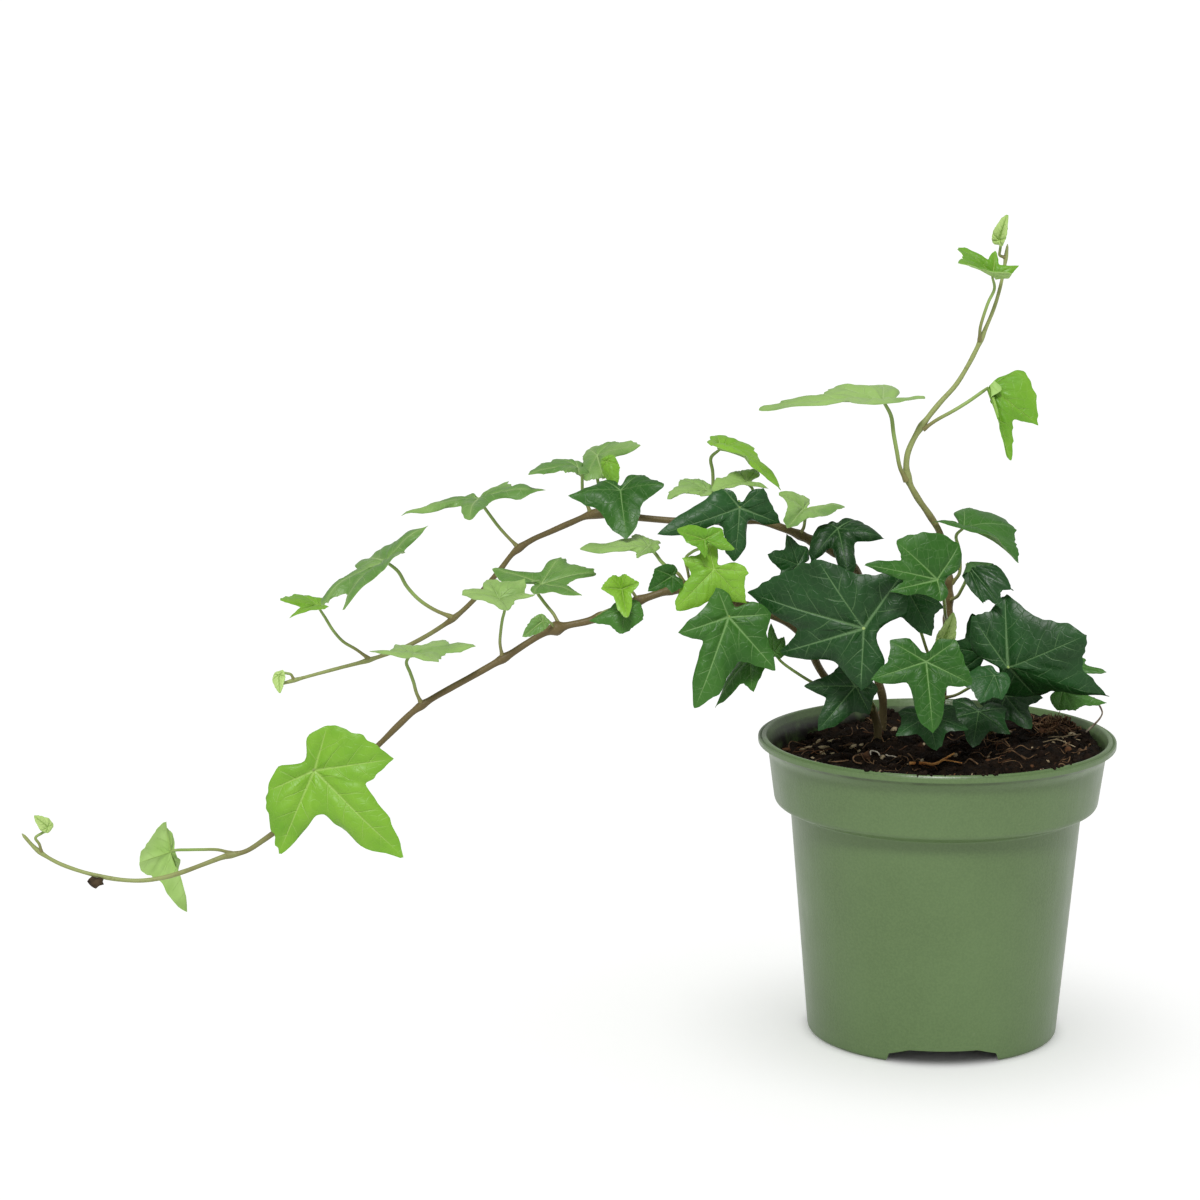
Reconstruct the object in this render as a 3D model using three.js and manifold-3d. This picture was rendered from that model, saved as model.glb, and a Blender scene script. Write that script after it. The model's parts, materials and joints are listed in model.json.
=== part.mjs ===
// A young ivy in a round plastic nursery pot: the pot, its soil, four rooted stems and every leaf.
// Millimetres. +X is right, +Y is away from the viewer, +Z is up; the origin is under the pot.
import * as THREE from 'three';
import { mergeVertices } from 'three/addons/utils/BufferGeometryUtils.js';
import Module from 'manifold-3d';

const wasm = await Module();
wasm.setup();

// ---------------------------------------------------------------- driving dimensions
const GAP = 0.3;                   // space kept between pieces that touch
const POT_HEIGHT = 91;
const RIM_RADIUS = 53.5;           // outside of the bead on the rim
const COLLAR_TOP_RADIUS = 50.4;
const COLLAR_BOTTOM_RADIUS = 48.4;
const COLLAR_DEPTH = 20;           // from the lip down to the shoulder
const BODY_TOP_RADIUS = 43.6;
const BASE_RADIUS = 37.6;
const WALL = 1.3;
const LIP_HEIGHT = 2.1;            // the bead that runs round the top
const LIP_WIDTH = 2.4;
const LIP_FLARE = 2.8;             // height over which the collar turns out into the bead
const FLOOR_HEIGHT = 6;            // the floor stands above the foot
const FOOT_WIDTH = 3.4;
const EDGE = 0.6;                  // small rounding of the pot's corners
const DRAFT = 0.8;                 // slant of the faces under the pot
const CENTRE_FOOT_RADIUS = 9;
const NOTCH_COUNT = 3;
const NOTCH_WIDTH = 34;
const NOTCH_SHOULDER_WIDTH = 31.6;  // where its steep sides turn over to the top
const NOTCH_SHOULDER = 2.7;
const NOTCH_TOP_WIDTH = 20;
const NOTCH_HEIGHT = 4.4;
const DRAIN_COUNT = 6;
const DRAIN_RADIUS = 4;
const DRAIN_CIRCLE = 21;
const POT_SIDES = 44;
const SOIL_HEIGHT = 85;
const SOIL_RISE_RIGHT = 0.085;     // slope of the soil toward +X and toward +Y
const SOIL_RISE_BACK = 0.05;
const SOIL_CLEARANCE = GAP + 0.1;
const SOIL_SIDES = 26;
const SOCKET_DEPTH = 8;            // how far a stem goes into the soil

const BLADE_THICKNESS = 0.5;
const PALM_THICKNESS = 1.1;
const STEM_SIDES = 7;
const STEM_STEP = 6.5;             // distance between the rings of a stem
const SLIMMING = 1.5;              // above 1, a stem keeps its thickness and slims late
const PETIOLE_SIDES = 5;
const PETIOLE_STEPS = 5;
const UNDER_NOTCH = 1.6;           // how far under and outside the palm a stalk passes the notch
const STEEPEST_DROP = 1.6;
const SEARCH_STEPS = 400;          // how finely a stem is searched for the foot of a leaf stalk
const THREAD = 0.01;               // a tube is drawn this thin before its rings are spread

// The plant is measured on a sheet standing upright through the pot's axis and seen from EYE.
// A point of the sheet is moved along the line of sight to its own depth.
const EYE = new THREE.Vector3(-101, -966, 313);

function sighted([across, up, depth]) {
  const onSheet = new THREE.Vector3(across, 0, up);
  const reach = 1 - depth / EYE.y;
  return onSheet.sub(EYE).multiplyScalar(reach).add(EYE);
}

function sheetDistance(point, [across, up]) {
  const reach = EYE.y / (EYE.y - point.y);
  const seenAcross = EYE.x + (point.x - EYE.x) * reach;
  const seenUp = EYE.z + (point.z - EYE.z) * reach;
  return Math.hypot(seenAcross - across, seenUp - up);
}

// ---------------------------------------------------------------- solids
function toSolid(geometry, matrix = new THREE.Matrix4()) {
  const bare = geometry.clone().applyMatrix4(matrix);
  bare.deleteAttribute('normal');
  bare.deleteAttribute('uv');
  const merged = mergeVertices(bare, 1e-4);
  const mesh = new wasm.Mesh({
    numProp: 3,
    vertProperties: new Float32Array(merged.attributes.position.array),
    triVerts: new Uint32Array(merged.index.array),
  });
  return new wasm.Manifold(mesh);
}

function toGeometry(solid) {
  const mesh = solid.getMesh();
  const geometry = new THREE.BufferGeometry();
  geometry.setAttribute('position', new THREE.Float32BufferAttribute(mesh.vertProperties, 3));
  geometry.setIndex(Array.from(mesh.triVerts));
  return geometry;
}

function ring(radius, sides) {
  const points = [];
  for (let i = 0; i < sides; i += 1) {
    const angle = (i / sides) * 2 * Math.PI;
    points.push(new THREE.Vector2(radius * Math.cos(angle), radius * Math.sin(angle)));
  }
  return points;
}

// A closed tube along a curve, whose radius may change: the thin tube is drawn first and each of
// its rings is then spread from its own centre.
function taperedTube(curve, steps, sides, radiusAt) {
  const section = new THREE.Shape(ring(THREAD, sides));
  const tube = new THREE.ExtrudeGeometry(section, { steps, extrudePath: curve, bevelEnabled: false });
  const centres = curve.getSpacedPoints(steps);
  const position = tube.attributes.position;
  const point = new THREE.Vector3();
  for (let i = 0; i < position.count; i += 1) {
    point.fromBufferAttribute(position, i);
    let nearest = 0;
    for (let k = 1; k < centres.length; k += 1) {
      if (centres[k].distanceTo(point) < centres[nearest].distanceTo(point)) {
        nearest = k;
      }
    }
    point.sub(centres[nearest]).setLength(radiusAt(nearest / steps)).add(centres[nearest]);
    position.setXYZ(i, point.x, point.y, point.z);
  }
  return tube;
}

// ---------------------------------------------------------------- pot
function potProfile() {
  const shoulder = POT_HEIGHT - COLLAR_DEPTH;
  const lipBottom = POT_HEIGHT - LIP_HEIGHT;
  const footInside = BASE_RADIUS - FOOT_WIDTH;
  const bodyInside = BODY_TOP_RADIUS - WALL;
  const outline = [
    // underside: centre foot, raised floor, foot ring
    [0, 0],
    [CENTRE_FOOT_RADIUS, 0],
    [CENTRE_FOOT_RADIUS + DRAFT, FLOOR_HEIGHT],
    [footInside - DRAFT, FLOOR_HEIGHT],
    [footInside, 0],
    // outside, going up: body, shoulder, collar, lip
    [BASE_RADIUS - EDGE, 0],
    [BASE_RADIUS, EDGE],
    [BODY_TOP_RADIUS, shoulder - 4 * EDGE],
    [BODY_TOP_RADIUS + EDGE, shoulder - 2 * EDGE],
    [COLLAR_BOTTOM_RADIUS - EDGE, shoulder],
    [COLLAR_BOTTOM_RADIUS, shoulder + EDGE],
    [COLLAR_TOP_RADIUS, lipBottom - LIP_FLARE],
    [RIM_RADIUS - EDGE, lipBottom],
    [RIM_RADIUS, lipBottom + EDGE],
    [RIM_RADIUS, POT_HEIGHT - EDGE],
    [RIM_RADIUS - EDGE, POT_HEIGHT],
    // inside, going down
    [RIM_RADIUS - LIP_WIDTH + EDGE, POT_HEIGHT],
    [RIM_RADIUS - LIP_WIDTH, POT_HEIGHT - EDGE],
    [COLLAR_TOP_RADIUS - WALL, lipBottom - LIP_FLARE],
    [COLLAR_BOTTOM_RADIUS - WALL, shoulder + WALL],
    [bodyInside + EDGE / 2, shoulder - EDGE],
    [bodyInside, shoulder - 5 * EDGE],
    [BASE_RADIUS - WALL, FLOOR_HEIGHT + WALL],
    [0, FLOOR_HEIGHT + WALL],
  ];
  return outline.map(([radius, height]) => new THREE.Vector2(radius, height));
}

// LatheGeometry turns about Y, so the turned shape is stood up on Z.
function turned(profile, sides) {
  return new THREE.LatheGeometry(profile, sides).rotateX(Math.PI / 2);
}

function notchCutter(turn) {
  const shape = new THREE.Shape([
    new THREE.Vector2(-NOTCH_WIDTH / 2, -1),
    new THREE.Vector2(NOTCH_WIDTH / 2, -1),
    new THREE.Vector2(NOTCH_SHOULDER_WIDTH / 2, NOTCH_SHOULDER),
    new THREE.Vector2(NOTCH_TOP_WIDTH / 2, NOTCH_HEIGHT),
    new THREE.Vector2(-NOTCH_TOP_WIDTH / 2, NOTCH_HEIGHT),
    new THREE.Vector2(-NOTCH_SHOULDER_WIDTH / 2, NOTCH_SHOULDER),
  ]);
  const block = new THREE.ExtrudeGeometry(shape, { depth: BASE_RADIUS, bevelEnabled: false });
  block.rotateX(Math.PI / 2).translate(0, -CENTRE_FOOT_RADIUS * 2, 0).rotateZ(turn);
  return toSolid(block);
}

function drainCutter(turn) {
  const drill = new THREE.CylinderGeometry(DRAIN_RADIUS, DRAIN_RADIUS, FLOOR_HEIGHT * 2, 14);
  drill.rotateX(Math.PI / 2).translate(DRAIN_CIRCLE, 0, FLOOR_HEIGHT).rotateZ(turn);
  return toSolid(drill);
}

function potGeometry() {
  let pot = toSolid(turned(potProfile(), POT_SIDES));
  for (let i = 0; i < NOTCH_COUNT; i += 1) {
    pot = pot.subtract(notchCutter((i / NOTCH_COUNT) * 2 * Math.PI));
  }
  for (let i = 0; i < DRAIN_COUNT; i += 1) {
    pot = pot.subtract(drainCutter((i / DRAIN_COUNT) * 2 * Math.PI));
  }
  return toGeometry(pot);
}

// ---------------------------------------------------------------- soil
// The surface is a little uneven: higher at the back right, lower at the front left.
function soilLevel(x, y) {
  const slope = SOIL_RISE_RIGHT * x + SOIL_RISE_BACK * y;
  const swell = 0.7 * Math.sin(0.21 * x + 1) * Math.cos(0.19 * y);
  const lumps = 0.4 * Math.sin(0.5 * x - 0.4 * y);
  return SOIL_HEIGHT + slope + swell + lumps;
}

function soilProfile() {
  const shoulder = POT_HEIGHT - COLLAR_DEPTH;
  const topRadius = COLLAR_TOP_RADIUS - WALL - SOIL_CLEARANCE - 1.4;
  const bodyRadius = BODY_TOP_RADIUS - WALL - SOIL_CLEARANCE;
  const collarRadius = COLLAR_BOTTOM_RADIUS - WALL - 2 * SOIL_CLEARANCE;
  const floor = FLOOR_HEIGHT + WALL + SOIL_CLEARANCE;
  const outline = [
    [0, floor],
    [BASE_RADIUS - WALL - SOIL_CLEARANCE, floor],
    [bodyRadius, shoulder - 5 * EDGE],
    [bodyRadius + EDGE / 3, shoulder - EDGE],
    [collarRadius, shoulder + WALL + 2 * SOIL_CLEARANCE],
  ];
  for (const share of [1, 0.86, 0.64, 0.42, 0.2, 0]) {
    outline.push([topRadius * share, SOIL_HEIGHT]);
  }
  return outline.map(([radius, height]) => new THREE.Vector2(radius, height));
}

function soilGeometry(plants) {
  const lump = turned(soilProfile(), SOIL_SIDES);
  const position = lump.attributes.position;
  for (let i = 0; i < position.count; i += 1) {
    if (position.getZ(i) > SOIL_HEIGHT - 0.01) {
      position.setZ(i, soilLevel(position.getX(i), position.getY(i)));
    }
  }
  let soil = toSolid(lump);
  for (const plant of plants) {
    const start = plant.curve.getPoint(0);
    const radius = plant.radiusAt(0) + GAP;
    const hole = new THREE.CylinderGeometry(radius, radius, 2 * SOCKET_DEPTH, 12);
    hole.rotateX(Math.PI / 2).translate(start.x, start.y, start.z - GAP + SOCKET_DEPTH);
    soil = soil.subtract(toSolid(hole));
  }
  return toGeometry(soil);
}

// ---------------------------------------------------------------- stems
// Each stem: thickness at the root and at the tip, where it is rooted and the points it passes.
const STEMS = {
  upright: {
    root: [1, 12], baseRadius: 1.3, tipRadius: 0.45,
    path: [
      [1, 97, 12], [1, 110, 9], [2, 121, 6], [3, 132, 4], [0, 152, 1], [-7, 163, 0],
      [-10, 169, 0], [-10, 177, 0], [-7, 183, 1], [-2, 190, 2], [4, 197, 3], [9, 206, 4],
      [12, 213, 5], [15, 221, 6.5], [17, 230, 8], [18, 238, 8.5],
    ],
  },
  upper: {
    root: [-14, 28], baseRadius: 1.35, tipRadius: 0.5,
    path: [
      [-16, 100, 26], [-20, 116, 20], [-22, 132, 15], [-26, 143, 11], [-35, 148.5, 9],
      [-47, 154, 8], [-59, 157, 8], [-74, 156, 9], [-89, 157, 10], [-101, 158.5, 11],
      [-113, 154, 12], [-125, 148, 13], [-131, 141, 14], [-137, 134, 15], [-143, 128, 15],
      [-157, 119, 16], [-170, 114, 16], [-181, 111, 16], [-190, 108.5, 16], [-197, 106.5, 16],
    ],
  },
  lower: {
    root: [-16, 20], baseRadius: 1.3, tipRadius: 0.55,
    path: [
      [-19, 98, 18], [-27, 104, 12], [-34, 109, 7], [-38, 117, 3], [-43, 124, -2], [-51, 128, -5],
      [-60, 131, -7], [-74, 136, -9], [-87, 133, -11], [-104, 126, -13], [-116, 123, -14],
      [-129, 115, -16], [-141, 108, -18], [-149, 103.5, -19], [-156, 99, -20], [-169, 86.5, -22],
      [-184, 73, -23], [-200.5, 60, -24], [-208, 55, -25], [-214, 53.5, -25], [-222, 50.5, -26],
      [-232, 47, -26], [-242, 45.8, -26], [-254, 47.6, -26], [-264, 51, -26], [-270, 54.5, -26],
      [-275.5, 60.5, -26],
    ],
  },
  right: {
    root: [18, 15], baseRadius: 1.1, tipRadius: 0.7,
    path: [[17, 96, 14], [20, 102, 11], [25, 107, 8], [31, 109, 6]],
  },
};

function growStem({ root, baseRadius, tipRadius, path }) {
  const [x, y] = root;
  const bottom = new THREE.Vector3(x, y, soilLevel(x, y) - SOCKET_DEPTH);
  const collar = new THREE.Vector3(x, y, soilLevel(x, y) + 3);
  const curve = new THREE.CatmullRomCurve3([bottom, collar, ...path.map(sighted)], false, 'centripetal');
  const radiusAt = (along) => THREE.MathUtils.lerp(baseRadius, tipRadius, along ** SLIMMING);
  return { curve, radiusAt };
}

function stemGeometry({ curve, radiusAt }) {
  const steps = Math.round(curve.getLength() / STEM_STEP);
  return taperedTube(curve, steps, STEM_SIDES, radiusAt);
}

// ---------------------------------------------------------------- leaves
// A blade has five lobes, listed counter-clockwise as its upper side is seen: one beside the stalk,
// a side lobe, the lobe of the midrib, the other side lobe and the other one beside the stalk.
// Between two lobes the edge passes points given as [way from lobe to lobe, share of their reach].
// A leaf's own cut says how deep the edge comes in there and takes the place of the least share.
const EDGE_BY_STALK = [[0.28, 0.74], [0.58, 0.66], [0.83, 0.83]];
const EDGE_BY_TIP = [[0.2, 0.72], [0.43, 0.52], [0.63, 0.61], [0.82, 0.84]];
const EDGES = [EDGE_BY_STALK, EDGE_BY_TIP, reversed(EDGE_BY_TIP), reversed(EDGE_BY_STALK)];
const NOTCH_SIDE = [0.55, 1.02];   // the edge between the notch and the lobe beside it
const NOTCH_REACH = 0.12;          // the notch where the stalk comes in, as a share of the midrib
const NOTCH_PULLS = [1, -0.35, -0.35, -0.35, 1];   // how each lobe turns the notch toward itself
const SHORTEST_REACH = 1.6;
const HALF_WAY = 0.52;             // where the ring of points between palm and edge lies

// Leaves that are too small or too hidden to measure lobe by lobe take one of these forms.
const LOBE_ANGLES = [-115, -51, 0, 51, 115];
const FORMS = {
  star: { reaches: [0.52, 0.76, 1, 0.76, 0.52], cuts: [0.76, 0.62, 0.62, 0.76] },
  broad: { reaches: [0.55, 0.76, 1, 0.76, 0.55], cuts: [0.86, 0.72, 0.72, 0.86] },
  bud: { reaches: [0.24, 0.34, 1, 0.34, 0.24], cuts: [0.9, 0.8, 0.8, 0.9] },
};

function reversed(edge) {
  return edge.map(([way, share]) => [1 - way, share]).reverse();
}

function formArms({ palm, tip, face, form, wide, fold }) {
  const midrib = sighted(tip).sub(sighted(palm));
  const length = midrib.length();
  midrib.normalize();
  const across = new THREE.Vector3(...face).cross(midrib).normalize();
  const up = midrib.clone().cross(across);
  return LOBE_ANGLES.map((degrees, lobe) => {
    const angle = THREE.MathUtils.degToRad(degrees);
    const reach = FORMS[form].reaches[lobe] * length;
    const side = reach * Math.sin(angle) * wide;
    const arm = midrib.clone().multiplyScalar(reach * Math.cos(angle));
    arm.addScaledVector(across, side * Math.cos(fold));
    return arm.addScaledVector(up, Math.abs(side) * Math.sin(fold));
  });
}

// The way the upper side faces, from arms listed counter-clockwise.
function upperSide(arms) {
  const up = new THREE.Vector3();
  for (let i = 1; i < arms.length; i += 1) {
    up.add(arms[i - 1].clone().cross(arms[i]).normalize());
  }
  return up.normalize();
}

function armBetween(from, to, way, share) {
  const start = from.clone().normalize();
  const turn = new THREE.Quaternion().setFromUnitVectors(start, to.clone().normalize());
  const reach = share * THREE.MathUtils.lerp(from.length(), to.length(), way);
  const partTurn = new THREE.Quaternion().slerp(turn, way);
  return start.applyQuaternion(partTurn).multiplyScalar(Math.max(reach, SHORTEST_REACH));
}

function edgeBetween(from, to, edge, cut) {
  const least = Math.min(...edge.map(([, share]) => share));
  return edge.map(([way, share]) => {
    const ownShare = cut + ((share - least) * (1 - cut)) / (1 - least);
    return armBetween(from, to, way, ownShare);
  });
}

function notchArm(arms, up, share) {
  const notch = new THREE.Vector3();
  arms.forEach((arm, i) => notch.addScaledVector(arm, NOTCH_PULLS[i] / arm.length()));
  const reach = Math.max(share * arms[2].length(), SHORTEST_REACH);
  return notch.projectOnPlane(up).setLength(reach);
}

// The arms from the palm to every point of the edge, counter-clockwise from the notch.
function bladeOutline(arms, cuts, notch) {
  const [way, share] = NOTCH_SIDE;
  const outline = [notch, armBetween(notch, arms[0], way, share)];
  EDGES.forEach((edge, i) => {
    outline.push(arms[i], ...edgeBetween(arms[i], arms[i + 1], edge, cuts[i]));
  });
  outline.push(arms.at(-1), armBetween(notch, arms.at(-1), way, share));
  return outline;
}

// The blade is a sphere grid pressed flat: its equator becomes the edge of the leaf, its poles the
// palm. The ring between them is lifted by the arch.
function bladeGeometry({ outline, arch, up }) {
  const rows = 4;
  const spread = [0, HALF_WAY, 1, HALF_WAY, 0];
  const lifted = [0, arch, 0, arch, 0];
  const thickness = [0, 0, BLADE_THICKNESS / 2, BLADE_THICKNESS, PALM_THICKNESS];
  const blade = new THREE.SphereGeometry(1, outline.length, rows);
  const position = blade.attributes.position;
  for (let spoke = 0; spoke <= outline.length; spoke += 1) {
    const arm = outline.at(spoke % outline.length);
    const next = outline.at((spoke + 1) % outline.length);
    const previous = outline.at((spoke % outline.length) - 1);
    const outward = arm.clone().cross(next.clone().sub(previous)).normalize().add(up).normalize();
    for (let row = 0; row <= rows; row += 1) {
      const place = arm.clone().multiplyScalar(spread[row]);
      place.addScaledVector(up, lifted[row] * arm.length());
      place.addScaledVector(spread[row] > 0 ? outward : up, -thickness[row]);
      position.setXYZ(row * (outline.length + 1) + spoke, place.x, place.y, place.z);
    }
  }
  return blade;
}

// The place on a stem that is seen at the given point of the sheet.
function stemFoot(plant, from) {
  const samples = plant.curve.getSpacedPoints(SEARCH_STEPS);
  let nearest = 0;
  samples.forEach((sample, i) => {
    if (sheetDistance(sample, from) < sheetDistance(samples[nearest], from)) {
      nearest = i;
    }
  });
  const along = nearest / SEARCH_STEPS;
  const tangent = plant.curve.getTangentAt(along);
  return { centre: samples[nearest], tangent, radius: plant.radiusAt(along) };
}

// The leaf stalk leaves the stem square to it, passes under the notch and ends under the palm.
function petioleCurve({ foot, bends, palm, up, notch, radius, drop }) {
  const end = palm.clone().addScaledVector(up, -0.15 - radius * (0.7 + drop));
  const under = end.clone().addScaledVector(up, -UNDER_NOTCH);
  under.addScaledVector(notch.clone().normalize(), UNDER_NOTCH);
  const toward = (bends[0] ?? under).clone().sub(foot.centre);
  toward.addScaledVector(foot.tangent, -toward.dot(foot.tangent)).normalize();
  const skin = foot.radius + GAP + 0.05;
  const start = foot.centre.clone().addScaledVector(toward, skin);
  const knee = foot.centre.clone().addScaledVector(toward, skin + 2 * radius);
  return new THREE.CatmullRomCurve3([start, knee, ...bends, under, end], false, 'centripetal');
}

// How steeply the lobes fall away from the palm: 0 is level, 1 is at 45 degrees.
function dropOf(arms, up) {
  const falls = arms.map((arm) => -arm.dot(up) / arm.clone().projectOnPlane(up).length());
  return THREE.MathUtils.clamp(Math.max(...falls), 0, STEEPEST_DROP);
}

function leafMesh(leaf, plants) {
  const { name, stem, from, via = [], form, wide = 1, fold = 0, arch = 0.03, look } = leaf;
  const palm = sighted(leaf.palm);
  const arms = form
    ? formArms({ ...leaf, wide, fold: THREE.MathUtils.degToRad(fold) })
    : leaf.lobes.map((lobe) => sighted(lobe).sub(palm));
  const up = upperSide(arms);
  const notch = notchArm(arms, up, leaf.notch ?? NOTCH_REACH);
  const outline = bladeOutline(arms, leaf.cuts ?? FORMS[form].cuts, notch);
  const blade = bladeGeometry({ outline, arch, up });
  const radius = THREE.MathUtils.clamp(0.42 + 0.008 * arms[2].length(), 0.45, 0.7);
  const foot = stemFoot(plants[stem], from);
  const bends = via.map(sighted);
  const curve = petioleCurve({ foot, bends, palm, up, notch, radius, drop: dropOf(arms, up) });
  const petiole = taperedTube(curve, PETIOLE_STEPS, PETIOLE_SIDES, () => radius);
  const toLeaf = new THREE.Matrix4().makeTranslation(palm.clone().negate());
  const solid = toSolid(blade).add(toSolid(petiole, toLeaf));
  const mesh = new THREE.Mesh(toGeometry(solid), leafMaterial(look));
  mesh.name = name;
  mesh.position.copy(palm);
  return mesh;
}

// Every leaf: the stem it grows on, where its stalk leaves the stem (from), the points the stalk
// passes (via) and its palm, the point where its veins meet. Then either the tips of its five lobes
// and the four cuts between them, or a form with its tip and the way its upper side faces.
const LEAVES = [
  // the upright stem, from its tip down
  {
    name: 'leaf_upright_bud', stem: 'upright', from: [18, 234],
    palm: [15.5, 239, 6], tip: [17.5, 246.5, 4], face: [-0.5, -1, 0.2],
    form: 'bud', wide: 1.2, fold: 35, look: 'lime',
  },
  {
    name: 'leaf_upright_3', stem: 'upright', from: [11, 210], via: [[12, 219, 1]],
    palm: [14, 229, 0],
    lobes: [[21.5, 232, 1], [14.5, 236.5, 4], [4, 237.5, 2], [4, 233, -12], [19.5, 230, -6]],
    cuts: [0.5, 0.5, 0.75, 0.4], look: 'lime',
  },
  {
    name: 'leaf_upright_2', stem: 'upright', from: [-6, 184], via: [[-2, 186, 0], [5, 190, 0]],
    palm: [13.5, 196, 0],
    lobes: [[14, 192, -3], [16.5, 187, -8], [20.5, 174.5, -5], [28, 185, -2], [22.5, 201.5, 4]],
    cuts: [0.9, 0.8, 0.62, 0.95], look: 'lime',
  },
  {
    name: 'leaf_upright_1', stem: 'upright', from: [-10, 169],
    via: [[-12.5, 173, -2], [-14, 180, -3]], palm: [-17.5, 192.5, -3],
    lobes: [[-17.5, 198, 12], [-33.5, 197, 6], [-54, 190, -14], [-26.5, 192, -18], [-5, 194, -8]],
    cuts: [0.65, 0.7, 0.6, 0.6], look: 'pale',
  },
  {
    name: 'leaf_crown_1', stem: 'upright', from: [3, 138], via: [[6, 145, 0]],
    palm: [7, 154.5, -2],
    lobes: [[-2.5, 156.5, -2], [16, 152, -12], [23.5, 144, -6], [22.5, 154, 6], [6.5, 160.5, 8]],
    cuts: [0.5, 0.85, 0.9, 1.05], arch: 0.08, look: 'mid',
  },
  {
    name: 'leaf_crown_2', stem: 'upright', from: [3, 133], palm: [8, 143.5, -9],
    lobes: [[7, 140, -12], [13.5, 131.5, -16], [19, 129.5, -17], [22, 135.5, -15], [16, 143.5, -9]],
    cuts: [0.9, 0.85, 0.8, 0.95], look: 'dark',
  },
  {
    name: 'leaf_crown_3', stem: 'upright', from: [2, 127], palm: [-0.5, 138.5, -27],
    lobes: [[6, 149, -24], [-13, 150, -28], [-22.5, 143, -32], [-14.5, 135, -32], [1, 132, -31]],
    cuts: [0.95, 0.65, 0.57, 0.55], look: 'mid',
  },
  {
    name: 'leaf_crown_bud', stem: 'upright', from: [2, 117],
    palm: [1.5, 119.5, -6], tip: [4.5, 128, -9], face: [0.1, -1, 0.1],
    form: 'bud', wide: 1.2, fold: 30, look: 'lime',
  },
  {
    name: 'leaf_crown_4', stem: 'upright', from: [1, 107], palm: [-3.5, 113.5, -33],
    lobes: [[-14.5, 120, -33], [-20, 108, -36], [-1, 91.5, -39], [10.5, 106.5, -36], [5.5, 120, -33]],
    cuts: [0.75, 0.45, 0.55, 0.85], look: 'mid',
  },
  {
    name: 'leaf_crown_5', stem: 'upright', from: [1, 112], palm: [-9, 134.5, -14],
    lobes: [[-14.5, 135, -15], [-18.5, 127, -17], [-2, 121.5, -19], [1.5, 130, -17], [-4, 136.5, -14]],
    cuts: [0.8, 0.6, 0.8, 0.8], look: 'dark',
  },
  {
    name: 'leaf_crown_6', stem: 'upright', from: [1, 103], palm: [17, 109.5, -24],
    lobes: [[13.5, 112.5, -22], [6, 107.5, -27], [13, 101, -30], [19.5, 102, -28], [22, 108, -25]],
    cuts: [0.8, 0.8, 0.8, 0.9], look: 'dark',
  },
  {
    name: 'leaf_crown_7', stem: 'upright', from: [1, 98],
    palm: [-2.5, 97, -20], tip: [0, 86.5, -31], face: [0, -0.75, 0.7],
    form: 'star', wide: 1.35, look: 'dark',
  },
  // the short stem on the right
  {
    name: 'leaf_right_1', stem: 'right', from: [28, 108], palm: [21, 111.5, -17],
    lobes: [[30, 102, -4], [51.5, 102, -20], [44, 121.5, -22], [19.5, 134, -12], [10, 127.5, -14]],
    cuts: [0.7, 0.77, 0.74, 0.88], look: 'dark',
  },
  {
    name: 'leaf_right_2', stem: 'right', from: [30, 109], palm: [36.5, 113.5, 5],
    lobes: [[36.5, 109.5, 2], [44, 107.5, -2], [50.5, 110.5, 1], [44.5, 114.5, 5], [38, 117.5, 8]],
    cuts: [0.9, 0.7, 0.7, 0.9], look: 'mid',
  },
  {
    name: 'leaf_right_3', stem: 'right', from: [26, 107], palm: [37.5, 105, -4],
    lobes: [[36, 98.5, -5], [41.5, 98.5, -7], [51, 101, -6], [45.5, 105, -4], [39, 108, -3]],
    cuts: [0.9, 0.75, 0.6, 0.8], look: 'mid',
  },
  {
    name: 'leaf_right_4', stem: 'right', from: [21, 102],
    palm: [20.5, 103, 2], tip: [28.5, 93, -5], face: [0, -0.8, 0.6],
    form: 'star', wide: 1.25, fold: -6, look: 'dark',
  },
  {
    name: 'leaf_right_5', stem: 'right', from: [18, 97],
    palm: [12.5, 98.5, -4], tip: [11, 87.5, -14], face: [0, -0.7, 0.7],
    form: 'star', wide: 1.3, look: 'dark',
  },
  {
    name: 'leaf_right_6', stem: 'right', from: [26, 107],
    palm: [14, 116, 0], tip: [10, 128, -2], face: [0, -0.95, 0.3],
    form: 'star', wide: 1.4, fold: -6, look: 'dark',
  },
  // the lower trail, from the soil outwards
  {
    name: 'leaf_lower_1', stem: 'lower', from: [-22, 97], palm: [-24.5, 106, -10],
    lobes: [
      [-29.5, 112.5, -9], [-40, 106, -13], [-35.5, 92.5, -15], [-20, 97.5, -13], [-17.5, 105, -11],
    ],
    cuts: [0.7, 0.6, 0.6, 0.8], look: 'dark',
  },
  {
    name: 'leaf_lower_2', stem: 'lower', from: [-30, 105], via: [[-39, 108, 0]],
    palm: [-49, 116, -7], tip: [-50, 125, -10], face: [0.1, -1, 0.1],
    form: 'star', wide: 0.6, look: 'mid',
  },
  {
    name: 'leaf_lower_3', stem: 'lower', from: [-40, 120], palm: [-22.5, 123.5, -25],
    lobes: [
      [-10.5, 141, -23], [-36.5, 144.5, -22], [-57, 134, -15], [-47.5, 116, -17], [-23, 104.5, -27],
    ],
    cuts: [0.7, 0.93, 0.66, 0.6], look: 'dark',
  },
  {
    name: 'leaf_lower_4', stem: 'lower', from: [-57, 130], palm: [-62.5, 127, -22],
    lobes: [
      [-66, 136, -23], [-77.5, 122, -26], [-72.5, 99, -28], [-48.5, 111, -24], [-49.5, 128, -22],
    ],
    cuts: [0.62, 0.5, 0.56, 0.72], look: 'mid',
  },
  {
    name: 'leaf_lower_5', stem: 'lower', from: [-53, 129],
    palm: [-56, 116, -12], tip: [-67, 100, -15], face: [-0.85, -0.45, 0.15],
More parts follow.
